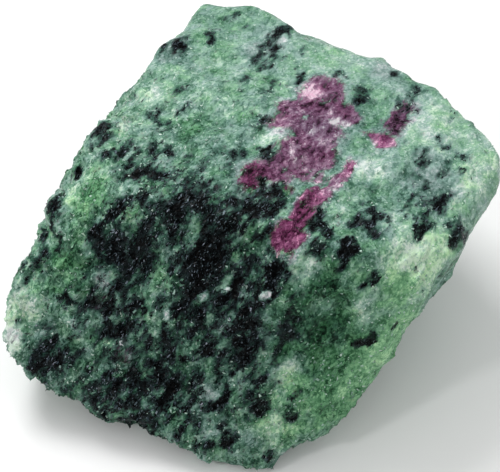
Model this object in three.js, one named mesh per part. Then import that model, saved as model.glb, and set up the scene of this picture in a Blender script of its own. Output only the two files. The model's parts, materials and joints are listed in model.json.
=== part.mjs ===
// A raw, unpolished chunk of green zoisite rock with black hornblende and magenta ruby grown through it.
// It is one broken piece of stone, about 50 mm across, so it is one solid.
// Units are millimetres and +Z is up. The stone rests on the plane z = 0, with the origin under its middle.
import * as THREE from "three";
import { ConvexHull } from "three/addons/math/ConvexHull.js";
import { ImprovedNoise } from "three/addons/math/ImprovedNoise.js";
import { mergeVertices } from "three/addons/utils/BufferGeometryUtils.js";

// Corners of the block that the stone broke into, as [x, y, z]. The stone is centred after it is made.
const TOP_RIM = [
  [-9.4, 20.8, 18.6],
  [-4.9, 28.2, 17.4],
  [-1.4, 27.6, 17.4],
  [1.9, 25.2, 18.0],
  [15.4, 16.6, 19.5],
  [22.3, 11.0, 19.2],
  [26.1, 3.6, 18.3],
  [24.8, 0.8, 16.8],
  [19.5, -6.3, 17.8],
  [16.5, -12.4, 19.2],
  [-15.6, 7.1, 20.3],
  [-19.6, -2.4, 18.0],
];
const RIDGE = [
  [-13.2, -4.4, 23.0],
  [-2.8, -6.8, 24.5],
  [8.9, -11.8, 24.0],
];
const FRONT_FOOT = [
  [-24.9, -8.3, 11.0],
  [-25.0, -11.9, 6.8],
  [-23.1, -12.6, 5.4],
  [-15.3, -13.6, 3.3],
  [-7.3, -17.6, 0.8],
  [-3.2, -21.9, 0.0],
  [1.8, -21.9, 0.0],
  [7.9, -18.2, 2.8],
  [10.1, -16.9, 5.3],
  [11.8, -14.9, 8.0],
  [13.3, -12.0, 12.0],
];
const HIDDEN_WALLS = [
  [-15.3, 12.5, 8.0],
  [-20.5, 0.5, 9.0],
  [-4.5, 24.8, 8.5],
  [13.5, 16.5, 9.0],
  [17.0, 4.2, 8.0],
];
const UNDERSIDE = [
  [-18.0, -5.0, -2.2],
  [-18.0, 5.0, -2.2],
  [-12.5, 14.5, -2.2],
  [-5.0, 21.5, -2.2],
  [4.5, 19.0, -2.2],
  [11.5, 12.0, -2.2],
  [14.0, 3.0, -2.2],
  [11.2, -6.5, -2.2],
  [6.0, -16.5, -2.2],
  [1.4, -21.3, -2.2],
  [-3.4, -21.3, -2.2],
  [-9.2, -14.8, -2.2],
];
const CORE = new THREE.Vector3(0, -1, 11); // the point inside from which the skin is measured
const FARTHEST = 60; // no point of the stone is this far from the core
const EDGE_WEAR = 0.3; // radius to which the broken edges have worn

// Knobs of hard black hornblende, left standing on the broken edges.
const KNOBS = [
  { at: [-7.4, 18.0, 17.4], radius: 2.1 },
  { at: [-13.9, 5.6, 19.0], radius: 2.2 },
  { at: [-16.6, 1.2, 18.9], radius: 1.1 },
  { at: [-18.6, -2.3, 17.4], radius: 1.5 },
  { at: [-22.0, -8.0, 11.5], radius: 1.6 },
  { at: [14.0, 14.4, 18.4], radius: 1.4 },
  { at: [18.0, -7.4, 17.0], radius: 1.5 },
];
const KNOB_FILLET = 0.5;

// Ledges, where a slab has split off an edge along the grain. The slab lay outside the plane through "at"
// that faces "facing", on the side of "at" towards "towards".
const LEDGES = [
  { at: [-13.8, 8.0, 20.0], facing: [-0.8, 0.46, 0.4], towards: [0.15, 1, -0.1] },
  { at: [-6.5, 23.4, 18.0], facing: [-0.7, 0.55, 0.45], towards: [-0.7, -0.4, 0.1] },
  { at: [15.0, -12.2, 14.0], facing: [0.8, -0.6, 0.1], towards: [-0.3, -0.4, -0.9] },
];

// Scoops, where flakes have broken out and left a round hollow of this width and depth. Each lies where
// the line through "at" along "facing" leaves the block.
const SCOOPS = [
  { at: [7.2, 20.3, 18.0], facing: [0.45, 0.75, 0.5], width: 16, depth: 1.2 },
  { at: [-9.6, -17.4, 1.6], facing: [-0.4, -0.7, -0.6], width: 13, depth: 1.5 },
  { at: [5.0, -18.6, 1.0], facing: [0.45, -0.8, -0.3], width: 6.5, depth: 1.7 },
  { at: [-4.2, -10.3, 21.0], facing: [0, -0.86, 0.5], width: 6, depth: 0.4 },
  { at: [-12.0, -8.0, 18.5], facing: [-0.1, -0.86, 0.5], width: 7, depth: 0.5 },
  { at: [-1.0, -14.5, 13.0], facing: [0, -0.86, 0.5], width: 7, depth: 0.4 },
  { at: [-10.5, -14.0, 8.5], facing: [0, -0.86, 0.5], width: 6, depth: 0.45 },
  { at: [6.5, -14.5, 13.0], facing: [0.2, -0.86, 0.45], width: 8, depth: 0.5 },
  { at: [14.5, -3.0, 21.0], facing: [0.1, 0, 1], width: 7, depth: 0.45 },
  { at: [-4.0, 8.0, 20.0], facing: [0, 0.1, 1], width: 9, depth: 0.5 },
  { at: [-16.0, 14.0, 10.0], facing: [-0.8, 0.55, 0.1], width: 12, depth: 1.2 },
  { at: [4.0, 20.0, 8.0], facing: [0.3, 0.95, 0], width: 11, depth: 1.1 },
  { at: [15.5, 8.0, 8.0], facing: [0.9, 0.4, -0.1], width: 11, depth: 0.9 },
];
const SCOOP_RIM_WEAR = 0.4;
const SCOOP_SEARCH = 10; // each scoop's "at" is within this distance of the skin

// The rock's grain: sheets of mineral that stand nearly upright, seen as ribs where the surface cuts them.
const GRAIN_ACROSS = new THREE.Vector3(0.79, -0.62, -0.05).normalize();
const GRAIN_UP = new THREE.Vector3(0.03, -0.05, 1).normalize();
const RIB_SPACING = 1.5;
const RIB_LENGTH = 7;
const RIB_HEIGHT = 0.3;

// Facets of the fracture: the surface is split in cells, each of which broke along a plane of its own.
const FACET_SIZE = 4.2;
const FACET_SLOPE = 0.11;
const FACET_SCATTER = 0.45; // share of its size by which a cell's middle is moved

// Lumps and dips of the fracture, from broad to small.
const LUMPS = [
  { size: 11, height: 0.5 },
  { size: 4.6, height: 0.4 },
  { size: 2.3, height: 0.3 },
];

// The grid laid over the stone: a box of its rough size, turned to lie along its long sides.
const GRID_SIZE = [36, 40, 22];
const GRID_CELLS = [31, 34, 19];
const GRID_TURN = THREE.MathUtils.degToRad(-28);
const SPREAD_ROUNDS = 40;
const SPREAD_PACE = 0.6; // share of the way to its neighbours' middle that a point moves in a round
const DIRECTION_ROUNDS = 4;
const SKIN_DEPTH = 3; // the relief stays within this distance of the bare block
const MERGE_DISTANCE = 1e-3;
const FLAT_WITHIN = 1e-4; // a point this close to z = 0 is on the flat underside

const noise = new ImprovedNoise();

// A repeatable number from -1 to 1 for a cell of space and a channel.
function scatter(i, j, k, channel) {
  let bits = Math.imul(i, 73856093) ^ Math.imul(j, 19349663);
  bits ^= Math.imul(k, 83492791) ^ Math.imul(channel, 40503001);
  bits = Math.imul(bits ^ (bits >>> 15), 2246822519);
  bits = Math.imul(bits ^ (bits >>> 13), 3266489917);
  return ((bits ^ (bits >>> 16)) >>> 0) / 2 ** 31 - 1;
}

function smoothMax(a, b, blend) {
  const overlap = Math.max(blend - Math.abs(a - b), 0) / blend;
  return Math.max(a, b) + (overlap * overlap * blend) / 4;
}

function facesOf(corners) {
  const points = corners.map((c) => new THREE.Vector3(...c));
  return new ConvexHull()
    .setFromPoints(points)
    .faces.map((face) => ({ normal: face.normal.clone(), reach: face.constant }));
}

const FACES = facesOf([...TOP_RIM, ...RIDGE, ...FRONT_FOOT, ...HIDDEN_WALLS, ...UNDERSIDE]);

// Height of a point above the block's worn faces: below zero inside the stone.
function heightOverBlock(p) {
  const heights = FACES.map((face) => face.normal.dot(p) - face.reach);
  const highest = Math.max(...heights);
  const sum = heights.reduce((total, h) => total + Math.exp((h - highest) / EDGE_WEAR), 0);
  return highest + EDGE_WEAR * Math.log(sum);
}

// The point where a line crosses a surface, between "near", which is below it, and "far", which is above it.
function crossing(heightOver, from, direction, near, far) {
  const p = new THREE.Vector3();
  let [inside, outside] = [near, far];
  for (let step = 0; step < 30; step++) {
    const reach = (inside + outside) / 2;
    p.copy(from).addScaledVector(direction, reach);
    if (heightOver(p) < 0) inside = reach;
    else outside = reach;
  }
  return p;
}

// Height that the tilted fracture facets add at a point.
function facetRelief(p) {
  const [x, y, z] = [p.x / FACET_SIZE, p.y / FACET_SIZE, p.z / FACET_SIZE];
  let nearest = Infinity;
  let height = 0;
  for (let i = Math.floor(x) - 1; i <= Math.floor(x) + 1; i++) {
    for (let j = Math.floor(y) - 1; j <= Math.floor(y) + 1; j++) {
      for (let k = Math.floor(z) - 1; k <= Math.floor(z) + 1; k++) {
        const dx = x - (i + 0.5 + FACET_SCATTER * scatter(i, j, k, 0));
        const dy = y - (j + 0.5 + FACET_SCATTER * scatter(i, j, k, 1));
        const dz = z - (k + 0.5 + FACET_SCATTER * scatter(i, j, k, 2));
        const distance = dx * dx + dy * dy + dz * dz;
        if (distance < nearest) {
          nearest = distance;
          const tilt = dx * scatter(i, j, k, 3) + dy * scatter(i, j, k, 4) + dz * scatter(i, j, k, 5);
          height = FACET_SLOPE * FACET_SIZE * tilt;
        }
      }
    }
  }
  return height;
}

function ribRelief(p) {
  const across = p.dot(GRAIN_ACROSS) / RIB_SPACING;
  const up = p.dot(GRAIN_UP) / RIB_LENGTH;
  return RIB_HEIGHT * noise.noise(across, up, p.y / RIB_LENGTH + 5.3);
}

function lumpRelief(p) {
  return LUMPS.reduce((sum, { size, height }, i) => {
    return sum + height * noise.noise(p.x / size + 3.1 * i, p.y / size, p.z / size);
  }, 0);
}

// The ball that a scoop is the print of.
function hollowOf(scoop) {
  const radius = (scoop.width ** 2 / 4 + scoop.depth ** 2) / (2 * scoop.depth);
  const facing = new THREE.Vector3(...scoop.facing).normalize();
  const at = crossing(heightOverBlock, new THREE.Vector3(...scoop.at), facing, -SCOOP_SEARCH, SCOOP_SEARCH);
  return { radius, middle: at.addScaledVector(facing, radius - scoop.depth) };
}

const HOLLOWS = SCOOPS.map(hollowOf);

function withKnobs(height, p) {
  return KNOBS.reduce((skin, knob) => {
    const overKnob = p.distanceTo(new THREE.Vector3(...knob.at)) - knob.radius;
    return -smoothMax(-skin, -overKnob, KNOB_FILLET);
  }, height);
}

function withLedges(height, p) {
  return LEDGES.reduce((skin, ledge) => {
    const from = p.clone().sub(new THREE.Vector3(...ledge.at));
    const outside = from.dot(new THREE.Vector3(...ledge.facing).normalize());
    const along = from.dot(new THREE.Vector3(...ledge.towards).normalize());
    return Math.max(skin, Math.min(outside, along));
  }, height);
}

function withScoops(height, p) {
  return HOLLOWS.reduce((skin, hollow) => {
    return smoothMax(skin, hollow.radius - p.distanceTo(hollow.middle), SCOOP_RIM_WEAR);
  }, height);
}

function heightOverSkin(p) {
  const block = heightOverBlock(p);
  const broken = withScoops(withLedges(block, p), p);
  const rough = withKnobs(broken, p) - lumpRelief(p) - ribRelief(p) - facetRelief(p);
  return Math.max(rough, -p.z);
}

// Height over the bare block, stood on the plane z = 0.
function heightOverForm(p) {
  return Math.max(heightOverBlock(p), -p.z);
}

// Direction in which the block's skin is nearest to a point.
function outward(p) {
  const step = 0.05;
  const here = heightOverForm(p);
  const slope = (x, y, z) => heightOverForm(new THREE.Vector3(p.x + x, p.y + y, p.z + z)) - here;
  return new THREE.Vector3(slope(step, 0, 0), slope(0, step, 0), slope(0, 0, step)).normalize();
}

function neighboursOf(grid) {
  const neighbours = Array.from({ length: grid.getAttribute("position").count }, () => new Set());
  const index = grid.getIndex();
  for (let t = 0; t < index.count; t += 3) {
    const corners = [index.getX(t), index.getX(t + 1), index.getX(t + 2)];
    for (const a of corners) {
      corners.filter((b) => b !== a).forEach((b) => neighbours[a].add(b));
    }
  }
  return neighbours;
}

// Spreads the points evenly over the block: each moves to its neighbours' middle and back to the skin.
function spreadOverForm(points, neighbours) {
  for (let round = 0; round < SPREAD_ROUNDS; round++) {
    const middles = points.map((p, i) => {
      const sum = new THREE.Vector3();
      for (const n of neighbours[i]) sum.add(points[n]);
      return sum.divideScalar(neighbours[i].size);
    });
    points.forEach((p, i) => {
      p.lerp(middles[i], SPREAD_PACE);
      p.addScaledVector(outward(p), -heightOverForm(p));
    });
  }
}

// Directions in which the relief stands: square to the skin, and turning smoothly over the block's edges.
function reliefDirections(points, neighbours) {
  let directions = points.map(outward);
  for (let round = 0; round < DIRECTION_ROUNDS; round++) {
    directions = directions.map((own, i) => {
      const sum = own.clone();
      for (const n of neighbours[i]) sum.add(directions[n]);
      return sum.normalize();
    });
  }
  return directions;
}

function stoneGeometry() {
  const box = new THREE.BoxGeometry(...GRID_SIZE, ...GRID_CELLS);
  box.deleteAttribute("normal");
  box.deleteAttribute("uv");
  const grid = mergeVertices(box, MERGE_DISTANCE);
  grid.rotateZ(GRID_TURN);
  const position = grid.getAttribute("position");
  const points = Array.from({ length: position.count }, (_, i) => {
    const direction = new THREE.Vector3().fromBufferAttribute(position, i).normalize();
    return crossing(heightOverForm, CORE, direction, 0, FARTHEST);
  });
  const neighbours = neighboursOf(grid);
  spreadOverForm(points, neighbours);
  const directions = reliefDirections(points, neighbours);
  points.forEach((p, i) => {
    const skin = crossing(heightOverSkin, p, directions[i], -SKIN_DEPTH, SKIN_DEPTH);
    position.setXYZ(i, skin.x, skin.y, Math.abs(skin.z) < FLAT_WITHIN ? 0 : skin.z);
  });
  grid.computeBoundingBox();
  const middle = grid.boundingBox.getCenter(new THREE.Vector3());
  grid.translate(-middle.x, -middle.y, 0);
  grid.computeVertexNormals();
  return grid;
}

const stone = new THREE.Mesh(
  stoneGeometry(),
  new THREE.MeshStandardMaterial({ color: 0x4d7a60, roughness: 0.6, metalness: 0 }),
);
stone.name = "stone";

const root = new THREE.Group();
root.add(stone);

export default root;
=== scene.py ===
"""A raw block of ruby-in-zoisite, dressed grain by grain and lit on a pale studio floor.

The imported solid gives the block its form. The stone's own surface is a fine mesh around that form,
and the mineral grains that break out of it are meshes of their own: zoisite, hornblende and ruby.
Lengths are in millimetres until a finished piece is put at its real size in metres.
"""

import json
import logging
import math
from collections.abc import Sequence
from dataclasses import dataclass
from enum import Enum

import bmesh
import bpy
import numpy as np
from bpy.types import Collection, Material, Mesh, Node, NodeTree, Object
from mathutils import Matrix, Vector

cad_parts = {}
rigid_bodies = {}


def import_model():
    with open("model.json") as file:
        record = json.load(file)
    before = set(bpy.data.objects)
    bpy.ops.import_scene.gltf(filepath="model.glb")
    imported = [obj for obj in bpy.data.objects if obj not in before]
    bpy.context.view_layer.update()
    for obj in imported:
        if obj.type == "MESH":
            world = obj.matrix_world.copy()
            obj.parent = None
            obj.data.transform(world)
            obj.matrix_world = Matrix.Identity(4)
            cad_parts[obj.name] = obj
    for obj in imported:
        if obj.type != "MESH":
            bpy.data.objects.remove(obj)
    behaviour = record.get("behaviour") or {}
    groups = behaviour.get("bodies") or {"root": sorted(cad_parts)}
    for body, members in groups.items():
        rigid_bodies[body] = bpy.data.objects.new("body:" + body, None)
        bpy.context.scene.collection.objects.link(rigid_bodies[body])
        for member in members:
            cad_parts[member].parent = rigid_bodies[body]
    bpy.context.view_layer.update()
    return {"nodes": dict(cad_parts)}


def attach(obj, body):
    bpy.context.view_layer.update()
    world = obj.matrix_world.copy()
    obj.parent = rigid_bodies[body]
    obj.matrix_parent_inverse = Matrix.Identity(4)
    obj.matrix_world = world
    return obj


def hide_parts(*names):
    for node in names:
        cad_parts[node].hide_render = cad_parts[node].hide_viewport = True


log = logging.getLogger("ruby_in_zoisite")

Colour = tuple[float, float, float]
Paint = tuple[float, float, float, float]
Place = tuple[float, float, float]
Size = tuple[float, float]
Range = tuple[float, float]

MM = 0.001
STONE_NODE = "stone"
STONE_BODY = "root"

# The layering of the rock: its planes stand nearly upright, and grains lie along them.
ACROSS_LAYERS = Vector((0.84, -0.485, -0.27)).normalized()
ALONG_LAYERS = Vector((0.5, 0.866, 0.0)).normalized()
DOWN_LAYERS = ACROSS_LAYERS.cross(ALONG_LAYERS).normalized()

# How much of the fine contrast is left where the stone is worn smooth.
WORN_CONTRAST = 0.5

# How strong each finer round of noise is, as a share of the round before it.
FINER_NOISE = 0.6


class Mineral(Enum):
    """The minerals that the rock is made of."""

    ZOISITE = "zoisite"
    HORNBLENDE = "hornblende"
    RUBY = "ruby"


class Field(Enum):
    """The values that the stone and its grains carry from place to place, mostly from 0 to 1.

    DARK and RED are the shares of hornblende and ruby. TONE and BLUSH say how light the zoisite and
    the ruby are, and WARM how rich the colour is. GRAIN holds three chances of each grain's own, and
    ROUGH says how rough the stone is.
    """

    DARK = "dark"
    RED = "red"
    TONE = "tone"
    BLUSH = "blush"
    WARM = "warm"
    GRAIN = "grain"
    ROUGH = "rough"


class Noise(Enum):
    """The noise that the stone carries for the minerals to follow.

    DRIFT makes the rims of patches wander. CLUMPS and STREAKS gather the dark and the red minerals,
    MOTTLE changes the lightness and HUE the warmth.
    """

    DRIFT = "drift"
    CLUMPS = "clumps"
    MOTTLE = "mottle"
    STREAKS = "streaks"
    HUE = "hue"


class Draw(Enum):
    """What is drawn by chance for each grain. The value is added to the seed of its crust."""

    STAYING = 1
    COLOUR = 2
    TURN = 3
    SIZE = 4


# ---- View --------------------------------------------------


@dataclass(frozen=True)
class Viewpoint:
    """Where the stone is looked at from.

    Attributes:
        target: The place that is looked at.
        elevation: How steeply it is looked down on, in degrees.
        distance: How far away the eye is.
        field_width: How much is seen from side to side, at the target.
        sensor_width: The width of the camera's sensor.
        columns: The frame's width, in pixels.
        rows: The frame's height, in pixels.
        clip: The nearest and the farthest distance that is seen, in metres.
    """

    target: Place = (-0.1, -2.7, 11.0)
    elevation: float = 52.0
    distance: float = 260.0
    field_width: float = 50.0
    sensor_width: float = 36.0
    columns: int = 500
    rows: int = 472
    clip: Range = (0.01, 10.0)

    def towards_eye(self) -> Vector:
        """The direction from the target to the eye."""
        tilt = math.radians(self.elevation)
        return Vector((0.0, -math.cos(tilt), math.sin(tilt)))

    def ray(self, column: float, row: float) -> tuple[Vector, Vector]:
        """The line of sight through one place in the frame.

        Args:
            column: Pixels from the frame's left edge.
            row: Pixels from the frame's top edge.

        Returns:
            The eye and the direction that it looks in.
        """
        tilt = math.radians(self.elevation)
        pixel = self.field_width / self.columns
        up = Vector((0.0, math.sin(tilt), math.cos(tilt)))
        eye = Vector(self.target) + self.towards_eye() * self.distance
        seen = Vector(self.target) + up * (self.rows / 2 - row) * pixel
        seen.x += (column - self.columns / 2) * pixel
        return eye, (seen - eye).normalized()

    def make_camera(self) -> None:
        """Makes the scene's camera."""
        data = bpy.data.cameras.new("camera")
        data.sensor_width = self.sensor_width
        data.lens = self.sensor_width * self.distance / self.field_width
        data.clip_start, data.clip_end = self.clip
        camera = bpy.data.objects.new("camera", data)
        camera.location = (Vector(self.target) + self.towards_eye() * self.distance) * MM
        camera.rotation_euler = (math.radians(90.0 - self.elevation), 0.0, 0.0)
        bpy.context.scene.collection.objects.link(camera)
        bpy.context.scene.camera = camera


# ---- Where each mineral lies -------------------------------


@dataclass(frozen=True)
class Patch:
    """A lens of one mineral that lies along the layers.

    Attributes:
        name: What the patch is.
        mineral: What it is made of.
        column: Where it is seen in the frame, in pixels from the left, or None on a hidden side.
        row: Where it is seen in the frame, in pixels from the top, or None on a hidden side.
        long: Its length along the layers.
        wide: Its width across the layers.
        share: How much of the rock it is in the middle of the patch. 1 is all of it, and under 0
            keeps even stray clumps away.
        shade: How light it is there, with 0 the darkest and 1 the lightest. Noise is added to it,
            so it may be over 1. Hornblende has no use for it.
        warmth: How rich its colour is there: 0 is cool, 1 is rich and under 0 is grey. Hornblende
            has no use for it.
        broken: How strongly clumps break up a patch of hornblende.
    """

    name: str
    mineral: Mineral
    column: float | None
    row: float | None
    long: float
    wide: float
    share: float
    shade: float = 0.5
    warmth: float = 0.35
    broken: float = 1.0


Z, H, R = Mineral.ZOISITE, Mineral.HORNBLENDE, Mineral.RUBY

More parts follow.
